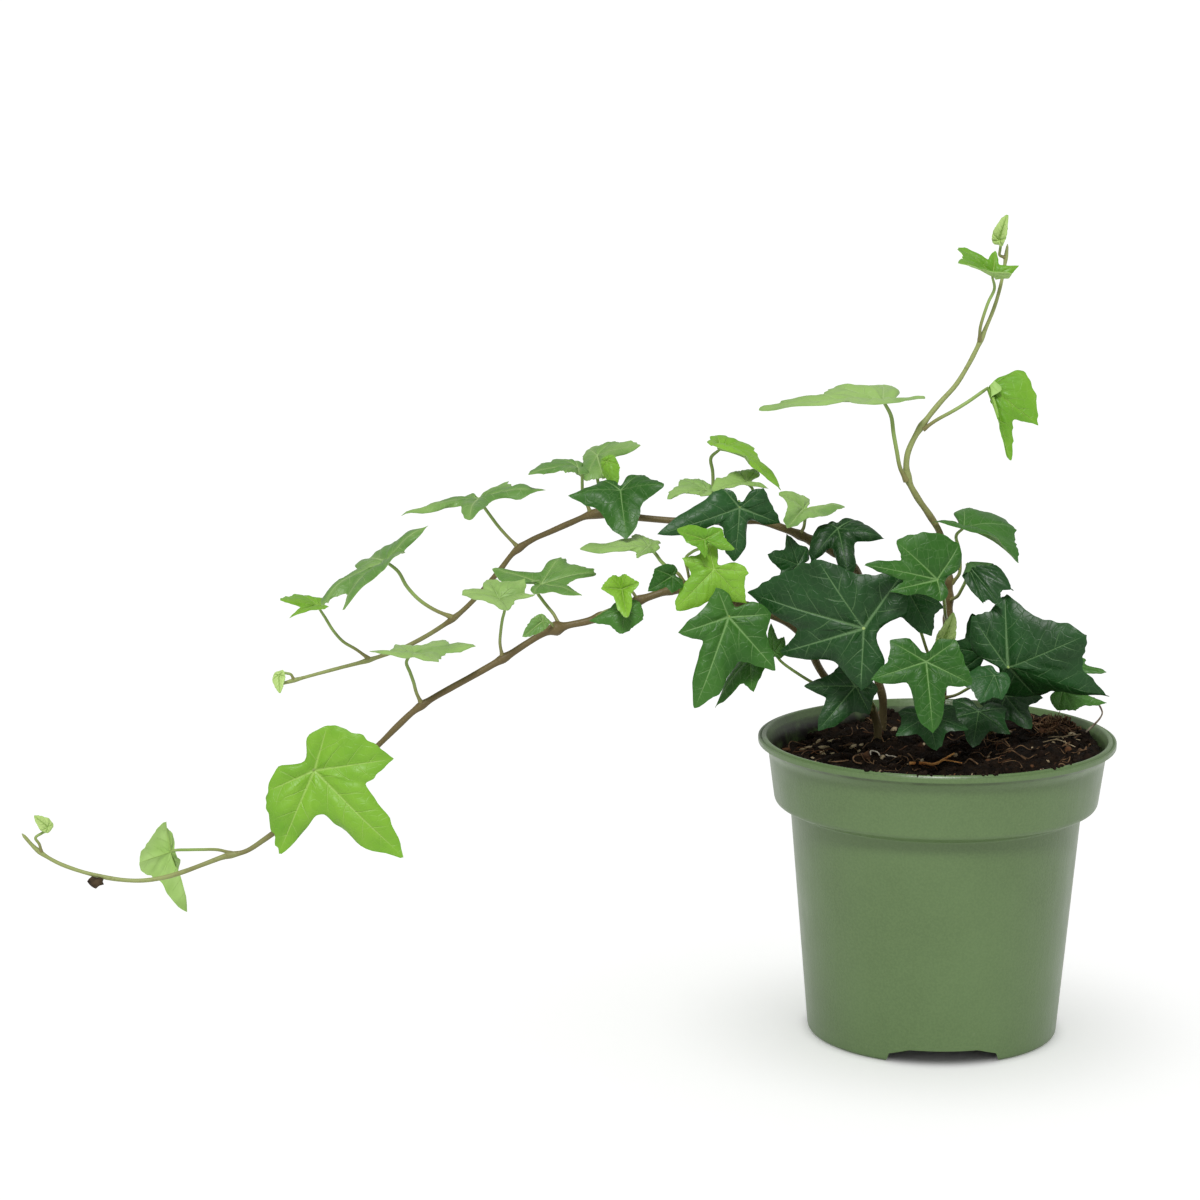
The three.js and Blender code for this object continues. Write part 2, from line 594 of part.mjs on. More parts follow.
    form: 'star', wide: 0.8, fold: -10, look: 'mid',
  },
  {
    name: 'leaf_lower_6', stem: 'lower', from: [-71, 135], palm: [-67, 141.5, -18],
    lobes: [
      [-69.5, 151.5, -14], [-76.5, 145, -18], [-78.5, 129.5, -21], [-57.5, 131.5, -19], [-57, 141, -17],
    ],
    cuts: [0.65, 0.55, 0.55, 0.85], look: 'lime',
  },
  {
    name: 'leaf_lower_7', stem: 'lower', from: [-74, 136], via: [[-75.5, 145, -12]],
    palm: [-70, 150.5, -20],
    lobes: [
      [-61, 147.5, -21], [-64.5, 153.5, -19], [-78, 153, -22], [-75.5, 150, -22], [-69.5, 145, -22],
    ],
    cuts: [0.8, 0.45, 0.9, 0.6], look: 'lime',
  },
  {
    name: 'leaf_lower_8', stem: 'lower', from: [-76, 136], via: [[-82, 143, -9]],
    palm: [-86.5, 149, -10],
    lobes: [
      [-84.5, 151.5, -3], [-89.5, 152.5, -2], [-106.5, 147.5, -22], [-90, 145.5, -19], [-84.5, 148, -14],
    ],
    cuts: [0.8, 0.4, 0.4, 0.8], look: 'pale',
  },
  {
    name: 'leaf_lower_9', stem: 'lower', from: [-80, 135], palm: [-79.5, 139.5, -19],
    lobes: [
      [-78, 142, -19], [-84.5, 141.5, -22], [-86.5, 135, -24], [-79.5, 134.5, -23], [-76, 136.5, -20],
    ],
    cuts: [0.9, 0.9, 0.6, 0.9], look: 'mid',
  },
  {
    name: 'leaf_lower_10', stem: 'lower', from: [-90, 132.3], palm: [-94.5, 135.5, -17],
    lobes: [
      [-97.5, 139.5, -18], [-100.5, 136, -20], [-93, 127, -24], [-89.5, 137.5, -19], [-93.5, 140, -18],
    ],
    cuts: [0.95, 0.55, 0.5, 0.9], notch: 0.4, look: 'lime',
  },
  {
    name: 'leaf_lower_11', stem: 'lower', from: [-101, 127], palm: [-93.5, 129.5, -16],
    lobes: [
      [-98.5, 129.5, -16], [-104.5, 126, -17], [-94.5, 122, -19], [-88, 126.5, -17], [-89.5, 132, -15],
    ],
    cuts: [0.9, 0.7, 0.85, 0.95], look: 'mid',
  },
  {
    name: 'leaf_lower_12', stem: 'lower', from: [-113, 124], palm: [-118.5, 137.5, -9],
    lobes: [
      [-121, 135, -15], [-106.5, 134.5, -20], [-102, 141, -8], [-112.5, 146, 2], [-133, 142, 3],
    ],
    cuts: [0.7, 0.5, 0.8, 0.35], look: 'pale',
  },
  {
    name: 'leaf_lower_13', stem: 'lower', from: [-115, 123],
    palm: [-118, 126, -22], tip: [-124, 121, -26], face: [0.2, -0.8, 0.5],
    form: 'bud', wide: 1.2, fold: 20, look: 'pale',
  },
  {
    name: 'leaf_lower_14', stem: 'lower', from: [-130.5, 115.3], via: [[-130.5, 124, -18]],
    palm: [-131, 133, -20],
    lobes: [
      [-123.5, 139, -15], [-134.5, 139, -12], [-142, 134.5, -26], [-128.5, 129.5, -32],
      [-120.5, 134.5, -24],
    ],
    cuts: [0.7, 0.55, 0.65, 0.7], notch: 0.6, look: 'pale',
  },
  {
    name: 'leaf_lower_15', stem: 'lower', from: [-155, 101], via: [[-157, 108, -22]],
    palm: [-157.5, 116.5, -22],
    lobes: [
      [-170, 117, -30], [-149.5, 114, -38], [-138.5, 118.5, -27], [-148, 120.5, -8], [-162, 119, -9],
    ],
    cuts: [0.5, 0.7, 0.7, 0.6], look: 'pale',
  },
  {
    name: 'leaf_lower_16', stem: 'lower', from: [-178, 78], palm: [-187, 80, -31],
    lobes: [
      [-201.5, 73.5, -32], [-198, 54.5, -34], [-161, 53.5, -37], [-163.5, 83.5, -33], [-183, 94, -30],
    ],
    cuts: [0.92, 0.42, 0.56, 0.9], look: 'lime',
  },
  {
    name: 'leaf_lower_17', stem: 'lower', from: [-213, 54], via: [[-219, 55.5, -20]],
    palm: [-230.5, 55, -14],
    lobes: [
      [-231, 60.5, -11], [-233, 64, -15], [-240.5, 51.5, -20], [-226, 36, -13], [-229, 44.5, -11],
    ],
    cuts: [0.95, 0.8, 0.6, 1], look: 'lime',
  },
  {
    name: 'leaf_lower_bud', stem: 'lower', from: [-271, 55], via: [[-271.5, 59, -27]],
    palm: [-267.5, 62.5, -28], tip: [-271.5, 66, -30], face: [-0.2, -0.8, 0.6],
    form: 'bud', wide: 1.5, fold: 10, look: 'lime',
  },
  // the upper trail, from the crown outwards
  {
    name: 'leaf_upper_1', stem: 'upper', from: [-31, 147], palm: [-30.5, 154, -3],
    lobes: [
      [-33.5, 156, -2], [-38.5, 143.5, -9], [-27, 138, -13], [-16.5, 151, -7], [-25.5, 157, 0],
    ],
    cuts: [0.8, 0.44, 0.46, 0.8], arch: 0.1, look: 'dark',
  },
  {
    name: 'leaf_upper_2', stem: 'upper', from: [-38, 150],
    palm: [-42, 143, -8], tip: [-51, 146, -12], face: [0, -0.9, 0.4],
    form: 'star', wide: 1.3, fold: -5, look: 'dark',
  },
  {
    name: 'leaf_upper_3', stem: 'upper', from: [-42, 152], palm: [-40.5, 160, 1],
    lobes: [
      [-38, 163, 6], [-47.5, 165, -3], [-45.5, 154, -14], [-35, 158, -8], [-28.5, 161, 0],
    ],
    cuts: [0.6, 0.6, 0.6, 0.9], look: 'pale',
  },
  {
    name: 'leaf_upper_4', stem: 'upper', from: [-59, 157], palm: [-59.5, 160, -12],
    lobes: [
      [-64.5, 166, -12], [-84, 152, -17], [-61, 143.5, -14], [-47, 155, -9], [-52.5, 166, -12],
    ],
    cuts: [0.62, 0.36, 0.35, 0.82], arch: 0.06, look: 'dark',
  },
  {
    name: 'leaf_upper_5', stem: 'upper', from: [-57, 156], palm: [-57.5, 168, 0],
    lobes: [[-54, 172, 6], [-60, 171.5, 5], [-67.5, 165.5, -8], [-61, 167, -6], [-51, 166.5, -4]],
    cuts: [0.9, 0.7, 0.9, 0.7], look: 'pale',
  },
  {
    name: 'leaf_upper_6', stem: 'upper', from: [-68, 156], via: [[-67.5, 168, 8]],
    palm: [-65.5, 178, 5],
    lobes: [
      [-68, 180, -2], [-58, 175.5, -7], [-47.5, 165.5, -1], [-56.5, 179.5, 12], [-67, 182.5, 11],
    ],
    cuts: [0.75, 0.75, 0.75, 0.8], arch: 0.12, look: 'lime',
  },
  {
    name: 'leaf_upper_7', stem: 'upper', from: [-72, 156], palm: [-69, 165.5, -3],
    lobes: [[-71, 169, 3], [-77, 169, 2], [-81, 163.5, -10], [-75.5, 165, -10], [-71, 164, -9]],
    cuts: [0.9, 0.8, 0.8, 0.9], look: 'pale',
  },
  {
    name: 'leaf_upper_8', stem: 'upper', from: [-93, 158], palm: [-95, 165.5, -3],
    lobes: [
      [-100.5, 169, 2], [-110.5, 164, -5], [-93, 151, -14], [-82, 167, -8], [-89, 170.5, 0],
    ],
    cuts: [0.75, 0.6, 0.6, 0.85], arch: 0.08, look: 'mid',
  },
  {
    name: 'leaf_upper_9', stem: 'upper', from: [-98, 158],
    palm: [-99, 174, 5], tip: [-96.5, 165.5, 2], face: [-0.4, -1, 0.3],
    form: 'bud', wide: 1.4, fold: -20, look: 'lime',
  },
  {
    name: 'leaf_upper_10', stem: 'upper', from: [-101, 158], via: [[-101, 164, 18]],
    palm: [-102, 176, 20],
    lobes: [
      [-105, 169, 10], [-100, 169.5, 10], [-89.5, 179, 10], [-97.5, 180.5, 24], [-104.5, 178, 28],
    ],
    cuts: [0.95, 0.35, 0.7, 0.8], notch: 0.3, look: 'pale',
  },
  {
    name: 'leaf_upper_11', stem: 'upper', from: [-104, 158], via: [[-106, 164, 11]],
    palm: [-107.5, 172.5, 7],
    lobes: [
      [-108.5, 174.5, 13], [-114, 175.5, 12], [-122, 170.5, -3], [-111, 171.5, -3], [-107, 170.5, 1],
    ],
    cuts: [0.9, 0.7, 0.7, 0.9], arch: 0.06, look: 'pale',
  },
  {
    name: 'leaf_upper_12', stem: 'upper', from: [-125, 147.5], via: [[-130, 153, 13]],
    palm: [-137, 163.5, 10],
    lobes: [
      [-144, 163, 19], [-159.5, 158.5, -2], [-140, 157.5, -6], [-117.5, 166, 0], [-128.5, 168.5, 17],
    ],
    cuts: [0.6, 0.4, 0.4, 0.6], arch: 0.05, look: 'pale',
  },
  {
    name: 'leaf_upper_13', stem: 'upper', from: [-145.5, 127.5], via: [[-152, 130, 14], [-159, 137, 14]],
    palm: [-165, 144.5, 12],
    lobes: [
      [-152.5, 155, 14], [-171, 144.5, 27], [-184.5, 132, -4], [-178.5, 130, -12], [-161, 146.5, 2],
    ],
    cuts: [0.7, 0.5, 0.7, 0.6], arch: 0.06, notch: 0.25, look: 'pale',
  },
  {
    name: 'leaf_upper_14', stem: 'upper', from: [-170, 114],
    via: [[-177, 119, 14], [-182, 125, 13]], palm: [-185, 131, 12],
    lobes: [
      [-183, 133.5, 17], [-190.5, 134.5, 17], [-196, 132.5, 5], [-193.5, 127.5, 0], [-183, 130.5, 7],
    ],
    cuts: [0.7, 0.85, 0.5, 0.6], look: 'lime',
  },
  {
    name: 'leaf_upper_bud', stem: 'upper', from: [-193, 108],
    palm: [-197, 109.5, 13], tip: [-197, 104, 9], face: [-0.4, -0.8, 0.5],
    form: 'bud', wide: 1.4, fold: 15, look: 'lime',
  },
];

// ---------------------------------------------------------------- small dry pieces
// A dead twig lying on the soil, a dry root that curls up beside the rim and a withered scrap
// that hangs on the lower trail.
const DRY_SIDES = 6;
// Each point of the twig: across, away and above the soil.
const TWIG_PATH = [[-9.4, -15, 1.4], [-5.6, -14, 1.6], [-2, -13.6, 1.8], [1.4, -9.6, 1.8], [4.8, -5.4, 1.5]];
const TWIG_RADIUS = 0.7;
const TWIG_TIP_RADIUS = 0.35;
const ROOT_START = [46, 8];
const ROOT_LIFT = 0.4;
const ROOT_RADIUS = 0.3;
// Each point of the root from where it leaves the soil: across, away and up.
const ROOT_PATH = [[0, 0, 0], [3, -0.5, 3.2], [4.6, -1.2, 6], [3.4, -2, 9], [1.6, -2.4, 11.2]];
const SCRAP_PLACE = [-253.6, 45.1, -27.8];
const SCRAP_REACH = [3, 1.4, 2.5];
const CRUMPLE = 0.3;

function curveThrough(path) {
  return new THREE.CatmullRomCurve3(path.map((point) => new THREE.Vector3(...point)));
}

function dryTwigGeometry() {
  const path = TWIG_PATH.map(([x, y, lift]) => [x, y, soilLevel(x, y) + lift]);
  const radius = (along) => TWIG_RADIUS + (TWIG_TIP_RADIUS - TWIG_RADIUS) * along;
  return taperedTube(curveThrough(path), 8, DRY_SIDES, radius);
}

function dryRootGeometry() {
  return taperedTube(curveThrough(ROOT_PATH), 7, DRY_SIDES, () => ROOT_RADIUS);
}

function driedScrapGeometry() {
  const scrap = new THREE.IcosahedronGeometry(1, 0);
  const position = scrap.attributes.position;
  const [across, away, up] = SCRAP_REACH;
  for (let i = 0; i < position.count; i += 1) {
    const x = position.getX(i);
    const z = position.getZ(i);
    const crumple = 1 + CRUMPLE * Math.sin(5 * x + 3 * z);
    position.setXYZ(i, across * x * crumple, away * position.getY(i), up * z * crumple);
  }
  return mergeVertices(scrap.deleteAttribute('normal').deleteAttribute('uv'), 1e-4);
}

// ---------------------------------------------------------------- materials
function material(colour, roughness) {
  return new THREE.MeshStandardMaterial({ color: colour, roughness, metalness: 0 });
}

const LEAF_COLOURS = { dark: 0x355e38, mid: 0x4b8a3c, lime: 0x86c23a, pale: 0x7fae6b };

function leafMaterial(look) {
  return material(LEAF_COLOURS[look], 0.5);
}

function named(name, geometry, look) {
  const mesh = new THREE.Mesh(geometry, look);
  mesh.name = name;
  return mesh;
}

// ---------------------------------------------------------------- assembly
function pottedIvy() {
  const grown = Object.entries(STEMS).map(([name, stem]) => [name, growStem(stem)]);
  const plants = Object.fromEntries(grown);
  const group = new THREE.Group();
  group.add(named('pot', potGeometry(), material(0x6f8f5e, 0.45)));
  group.add(named('soil', soilGeometry(Object.values(plants)), material(0x3b2a1f, 1)));
  for (const [name, plant] of grown) {
    group.add(named(`stem_${name}`, stemGeometry(plant), material(0x6b5a3a, 0.6)));
  }
  for (const leaf of LEAVES) {
    group.add(leafMesh(leaf, plants));
  }
  group.add(named('dry_twig', dryTwigGeometry(), material(0xa56a3a, 0.9)));
  const root = named('dry_root', dryRootGeometry(), material(0x5a5048, 0.9));
  root.position.set(...ROOT_START, soilLevel(...ROOT_START) + ROOT_LIFT);
  group.add(root);
  const scrap = named('dried_scrap', driedScrapGeometry(), material(0x2e2a22, 0.9));
  scrap.position.copy(sighted(SCRAP_PLACE));
  group.add(scrap);
  return group;
}

export default pottedIvy();
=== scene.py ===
"""Looks of a young ivy in a round nursery pot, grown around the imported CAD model.

Metres. +X is right, +Y is away from the camera, +Z is up; the origin is under the pot.
"""
import json
import math

import bmesh
import bpy
import numpy as np
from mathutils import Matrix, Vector


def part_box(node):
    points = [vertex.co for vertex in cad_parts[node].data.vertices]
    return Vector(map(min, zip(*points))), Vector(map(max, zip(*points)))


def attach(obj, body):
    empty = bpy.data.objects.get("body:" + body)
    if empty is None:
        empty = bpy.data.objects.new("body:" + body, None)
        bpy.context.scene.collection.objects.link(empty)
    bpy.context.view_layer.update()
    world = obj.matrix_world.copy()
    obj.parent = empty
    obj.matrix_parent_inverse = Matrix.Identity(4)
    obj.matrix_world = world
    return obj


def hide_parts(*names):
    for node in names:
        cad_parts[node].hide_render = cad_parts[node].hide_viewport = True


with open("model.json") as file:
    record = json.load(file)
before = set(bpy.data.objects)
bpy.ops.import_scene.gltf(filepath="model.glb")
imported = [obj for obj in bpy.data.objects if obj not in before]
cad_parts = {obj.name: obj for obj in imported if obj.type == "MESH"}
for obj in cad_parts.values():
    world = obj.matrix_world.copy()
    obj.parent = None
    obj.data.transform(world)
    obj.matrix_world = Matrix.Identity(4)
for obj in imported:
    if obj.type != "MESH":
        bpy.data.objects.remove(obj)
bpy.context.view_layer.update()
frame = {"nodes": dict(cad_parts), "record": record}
MM = 0.001
FULL_TURN = 2 * math.pi
PHASES = 6.3  # random phases of waves lie between 0 and this, about a full turn
TINY = 1e-12  # stands in for a length of 0 under a division
random = np.random.default_rng(11)


# ---- numbers and curves
def even_angles(count):
    return np.arange(count) * FULL_TURN / count


def on_circle(angles):
    return np.column_stack([np.cos(angles), np.sin(angles)])


def unit(vectors):
    return vectors / np.maximum(np.linalg.norm(vectors, axis=-1, keepdims=True), TINY)


def step_lengths(path):
    return np.linalg.norm(np.diff(path, axis=0), axis=1)


def running_sum(steps):
    return np.concatenate([[0], np.cumsum(steps)])


def resampled(values, count):
    """The values spread evenly over this many places."""
    return np.interp(np.linspace(0, 1, count), np.linspace(0, 1, len(values)), values)


def wave_field(x, y, size, count, seed):
    """A smooth random field of about unit height whose bumps are about this size across."""
    draw = np.random.default_rng(seed)
    total = np.zeros_like(x)
    for _ in range(count):
        angle = draw.uniform(0, FULL_TURN)
        pitch = FULL_TURN / (size * draw.uniform(0.7, 1.5))
        total += np.sin(pitch * (x * math.cos(angle) + y * math.sin(angle)) + draw.uniform(0, PHASES))
    return total / math.sqrt(count)


def smooth_path(points, steps):
    """A centripetal curve through the points, with this many steps between each two."""
    points = np.asarray(points, float)
    ghost = np.vstack([2 * points[0] - points[1], points, 2 * points[-1] - points[-2]])
    knots = running_sum(np.sqrt(step_lengths(ghost)))
    path = []
    for i in range(1, len(ghost) - 2):
        a, b, c, d = ghost[i - 1:i + 3]
        ta, tb, tc, td = knots[i - 1:i + 3]
        for t in np.linspace(tb, tc, steps + 1)[:-1]:
            ab = a + (b - a) * (t - ta) / (tb - ta)
            bc = b + (c - b) * (t - tb) / (tc - tb)
            cd = c + (d - c) * (t - tc) / (td - tc)
            abc = ab + (bc - ab) * (t - ta) / (tc - ta)
            bcd = bc + (cd - bc) * (t - tb) / (td - tb)
            path.append(abc + (bcd - abc) * (t - tb) / (tc - tb))
    return np.array(path + [points[-1]])


# ---- meshes
def mesh_object(name, points, faces, materials, face_material=None, uvs=None, values=None):
    """A smooth mesh piece. uvs: {name: (corner, 2)}, values: {name: one number for each point}."""
    mesh = bpy.data.meshes.new(name)
    mesh.from_pydata(np.asarray(points).tolist(), [], faces)
    for material in materials:
        mesh.materials.append(material)
    if face_material is not None:
        mesh.polygons.foreach_set("material_index", np.asarray(face_material, np.int32))
    for label, corners in (uvs or {}).items():
        layer = mesh.uv_layers.new(name=label)
        layer.data.foreach_set("uv", np.asarray(corners, np.float32).ravel())
    for label, numbers in (values or {}).items():
        attribute = mesh.attributes.new(label, "FLOAT", "POINT")
        attribute.data.foreach_set("value", np.asarray(numbers, np.float32))
    mesh.shade_smooth()
    mesh.update()
    piece = bpy.data.objects.new(name, mesh)
    bpy.context.scene.collection.objects.link(piece)
    return piece


def finish_piece(piece, slot, *nodes):
    """The piece hangs on the root body and stands for these CAD nodes, if there are any, which it hides.
    slot: not used.
    """
    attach(piece, "root")
    if nodes:
        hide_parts(*nodes)


def sharpen(piece, degrees):
    piece.data.set_sharp_from_angle(angle=math.radians(degrees))


def level_ring(radius, height, sides):
    """A level ring of points around Z."""
    return np.column_stack([radius * on_circle(even_angles(sides)), np.full(sides, height)])


def band_faces(rings, sides, closed=False):
    """The quads between each ring of points and the next, and between the last and the first if closed."""
    faces = []
    for i in range(rings if closed else rings - 1):
        low, high = i * sides, (i + 1) % rings * sides
        for k in range(sides):
            n = (k + 1) % sides
            faces.append([low + k, low + n, high + n, high + k])
    return faces


def capped_faces(rings, sides):
    """A band whose ends close on one point each; those two points come after the rings."""
    faces = band_faces(rings, sides)
    start, end, last = rings * sides, rings * sides + 1, (rings - 1) * sides
    for k in range(sides):
        n = (k + 1) % sides
        faces += [[start, n, k], [end, last + k, last + n]]
    return faces


def inside_out(faces):
    return [face[:1] + face[:0:-1] for face in faces]


def prism(first, second):
    """Points and faces of the solid between two outlines of as many points."""
    count = len(first)
    caps = [list(range(count))[::-1], list(range(count, 2 * count))]
    return np.vstack([first, second]), caps + band_faces(2, count)


def lathe(profile, sides):
    """Points and faces of a closed profile of (radius, height) turned about Z."""
    rings = [level_ring(radius, height, sides) for radius, height in profile]
    return np.vstack(rings), band_faces(len(rings), sides, closed=True)


NO_TUBE_HEADING = (0.31, 0.92, 0.24)  # a direction that no tube starts along


def tube(path, radii, sides):
    """Points, faces and each point's distance along of a round tube with closed ends."""
    radii = np.broadcast_to(radii, len(path))
    tangents = unit(np.gradient(path, axis=0))
    side = unit(np.cross(tangents[0], NO_TUBE_HEADING))
    circle = on_circle(even_angles(sides))
    rings = []
    for centre, tangent, radius in zip(path, tangents, radii):
        side = unit(side - tangent * side.dot(tangent))
        rings.append(centre + radius * circle @ [side, np.cross(tangent, side)])
    points = np.vstack(rings + [path[:1], path[-1:]])
    distance = running_sum(step_lengths(path))
    along = np.concatenate([np.repeat(distance, sides), [0, distance[-1]]])
    return points, capped_faces(len(path), sides), along


def lump_shape():
    """The points and faces of a ball of unit radius."""
    shape = bmesh.new()
    bmesh.ops.create_icosphere(shape, subdivisions=2, radius=1)
    shape.verts.ensure_lookup_table()
    points = np.array([v.co[:] for v in shape.verts])
    faces = [[v.index for v in f.verts] for f in shape.faces]
    shape.free()
    return points, faces


# ---- reading the CAD
SAME_PLANE = 0.99999  # cosine of the angle between two faces of one flat end
ROUND_ENOUGH = 0.03  # how far the points of a round end may stray, as a share of its radius


def welded(node):
    """The points of a CAD node with doubles joined, its triangles and each point's neighbours."""
    mesh = frame["nodes"][node].data
    places = np.empty(len(mesh.vertices) * 3)
    mesh.vertices.foreach_get("co", places)
    points, index = np.unique(np.round(places.reshape(-1, 3), 7), axis=0, return_inverse=True)
    corners = np.empty(len(mesh.loops), int)
    mesh.loops.foreach_get("vertex_index", corners)
    triangles = [tuple(t) for t in index.reshape(-1)[corners].reshape(-1, 3).tolist() if len(set(t)) == 3]
    near = {v: set() for v in range(len(points))}
    for triangle in triangles:
        for v in triangle:
            near[v].update(set(triangle) - {v})
    return points, triangles, near


def across_edges(triangles):
    """The third corner of the triangle that runs along each directed edge."""
    third = {}
    for a, b, c in triangles:
        third[a, b], third[b, c], third[c, a] = c, a, b
    return third


def flat_patches(points, triangles):
    """Groups of neighbouring triangles that lie in one plane."""
    corners = points[np.array(triangles)]
    normals = unit(np.cross(corners[:, 1] - corners[:, 0], corners[:, 2] - corners[:, 0]))
    owner = {}
    for i, (a, b, c) in enumerate(triangles):
        owner[a, b] = owner[b, c] = owner[c, a] = i
    unseen = set(range(len(triangles)))
    while unseen:
        patch, waiting = [], [unseen.pop()]
        while waiting:
            face = waiting.pop()
            patch.append(triangles[face])
            a, b, c = triangles[face]
            for edge in ((b, a), (c, b), (a, c)):
                other = owner.get(edge)
                if other in unseen and normals[face].dot(normals[other]) > SAME_PLANE:
                    unseen.discard(other)
                    waiting.append(other)
        yield patch


def tube_caps(points, triangles, sides):
    """The flat round ends of the tubes in a mesh: each a set of as many points as the tube has sides."""
    caps = []
    for patch in flat_patches(points, triangles):
        ring = {v for triangle in patch for v in triangle}
        if len(patch) == sides - 2 and len(ring) == sides:
            around = points[list(ring)]
            reach = np.linalg.norm(around - around.mean(0), axis=1)
            if reach.std() < ROUND_ENOUGH * reach.mean():
                caps.append(ring)
    return caps


def walk_tube(points, near, cap, sides, blocked=frozenset()):
    """Centres and radii of the rings of a tube from its end on."""
    ring, seen = set(cap), set(cap)
    centres, radii = [], []
    while True:
        around = points[list(ring)]
        centres.append(around.mean(0))
        radii.append(float(np.linalg.norm(around - around.mean(0), axis=1).mean()))
        onward = {n for v in ring for n in near[v]} - seen
        if len(onward) != sides or onward & blocked:
            return np.array(centres), np.array(radii)
        seen |= onward
        ring = onward


def read_tube(node, sides, measure):
    """Centres and radii of a CAD tube, from the end whose centre measures least on."""
    points, triangles, near = welded(node)
    caps = tube_caps(points, triangles, sides)
    start = min(caps, key=lambda ring: measure(points[list(ring)].mean(0)))
    return walk_tube(points, near, start, sides)


# ---- materials
def srgb(code):
    """A colour written as six hex digits, in the linear numbers that shaders take."""
    parts = [int(code[i:i + 2], 16) / 255 for i in (0, 2, 4)]
    return [p / 12.92 if p <= 0.04045 else ((p + 0.055) / 1.055) ** 2.4 for p in parts] + [1.0]


class Paint:
    """One node material, built up from masks that go from 0 to 1. Scales are features in a metre."""

    def __init__(self, name, roughness=0.5, gloss=0.5):
        self.material = bpy.data.materials.new(name)
        self.material.use_nodes = True
        self.tree = self.material.node_tree
        self.tree.nodes.clear()
        surface = self.add("BsdfPrincipled", 0, {"Roughness": roughness, "Specular IOR Level": gloss})
        self.sockets = surface.node.inputs
        self.tree.links.new(surface, self.tree.nodes.new("ShaderNodeOutputMaterial").inputs["Surface"])
        self.place = self.add("TexCoord", "Object")

    def add(self, kind, output, feeds=None, **settings):
        """Adds a node, gives its sockets their feeds and returns one of its outputs."""
        made = self.tree.nodes.new("ShaderNode" + kind)
        for key, value in settings.items():
            setattr(made, key, value)
        for socket, value in (feeds or {}).items():
            self.feed(made.inputs[socket], value)
        return made.outputs[output]

    def feed(self, socket, value):
        """Gives a socket what another socket puts out, a number, or a colour as hex digits."""
        if isinstance(value, bpy.types.NodeSocket):
            self.tree.links.new(value, socket)
        else:
            socket.default_value = srgb(value) if isinstance(value, str) else value

    def math(self, operation, *values):
        return self.add("Math", 0, dict(enumerate(values)), operation=operation)

    def times(self, a, b):
        return self.math("MULTIPLY", a, b)

    def plus(self, a, b):
        return self.math("ADD", a, b)

    def minus(self, a, b):
        return self.math("SUBTRACT", a, b)

    def scaled(self, value, factor, added):
        return self.math("MULTIPLY_ADD", value, factor, added)

    def smooth(self, value, low, high):
        """0 below low, 1 above high and a soft step between; falls instead where low is above high."""
        feeds = {"Value": value, "From Min": low, "From Max": high}
        return self.add("MapRange", "Result", feeds, interpolation_type="SMOOTHSTEP")

    def mix(self, mask, low, high):
        """The colour low where the mask is 0 and high where it is 1."""
        return self.add("Mix", 2, {"Factor": mask, 6: low, 7: high}, data_type="RGBA")

    def cover(self, base, colour, mask, share):
        """The base with this share of a colour over it where the mask is 1."""
        return self.mix(self.times(mask, share), base, colour)

    def noise(self, scale, detail, vector=None):
        feeds = {"Vector": vector or self.place, "Scale": scale, "Detail": detail, "Roughness": 0.55}
        return self.add("TexNoise", "Fac", feeds)

    def cells(self, scale, feature="F1"):
        """The distance to the middle of the nearest cell, or to the edge of its own cell."""
        return self.add("TexVoronoi", "Distance", {"Vector": self.place, "Scale": scale}, feature=feature)

    def stretched(self, *scale):
        return self.add("Mapping", 0, {"Vector": self.place, "Scale": scale})

    def parts(self, vector):
        return tuple(self.add("SeparateXYZ", 0, {0: vector}).node.outputs)

    def uv(self, name):
        return self.parts(self.add("UVMap", 0, uv_map=name))[:2]

    def attribute(self, name):
        return self.add("Attribute", "Fac", attribute_name=name)

    def set(self, socket, value):
        self.feed(self.sockets[socket], value)

    def bump(self, height, distance, strength):
        feeds = {"Height": height, "Distance": distance, "Strength": strength}
        self.set("Normal", self.add("Bump", 0, feeds))


# Colours of each kind of leaf: deep patches, fresh patches, veins, edge, underside.
LEAF_LOOKS = {
    "leaf_dark": ("10340e", "1f4b1d", "5f8052", "1d471b", "3f6430"),
    "leaf_mid": ("22510f", "3b6b22", "73985a", "30611c", "678c48"),
    "leaf_lime": ("5c9020", "76a52e", "93b558", "66962a", "9cbc70"),
    "leaf_pale": ("567f38", "8cad60", "98b472", "6c8f48", "93ab74"),
}
BUD_TONE = 2.0  # the tone of a bud; that of a leaf is between -1 and 1
BUD_COLOUR = "a9c474"
# Measures of the veins are shares of the leaf's length.
VEIN_WIDTH = 0.012  # half of a main vein's width at the palm
VEIN_TAPER = 0.7  # how much of it is lost by the lobe's tip
CHEVRON = 0.8  # how steeply the side veins leave a main vein
VEIN_BEND = 1.3  # how much they bend forward further out
VEIN_SPACING = 0.2
VEIN_STAGGER = 0.45  # how far the left side veins lie from the right ones, in spacings
VEIN_WANDER = 0.07


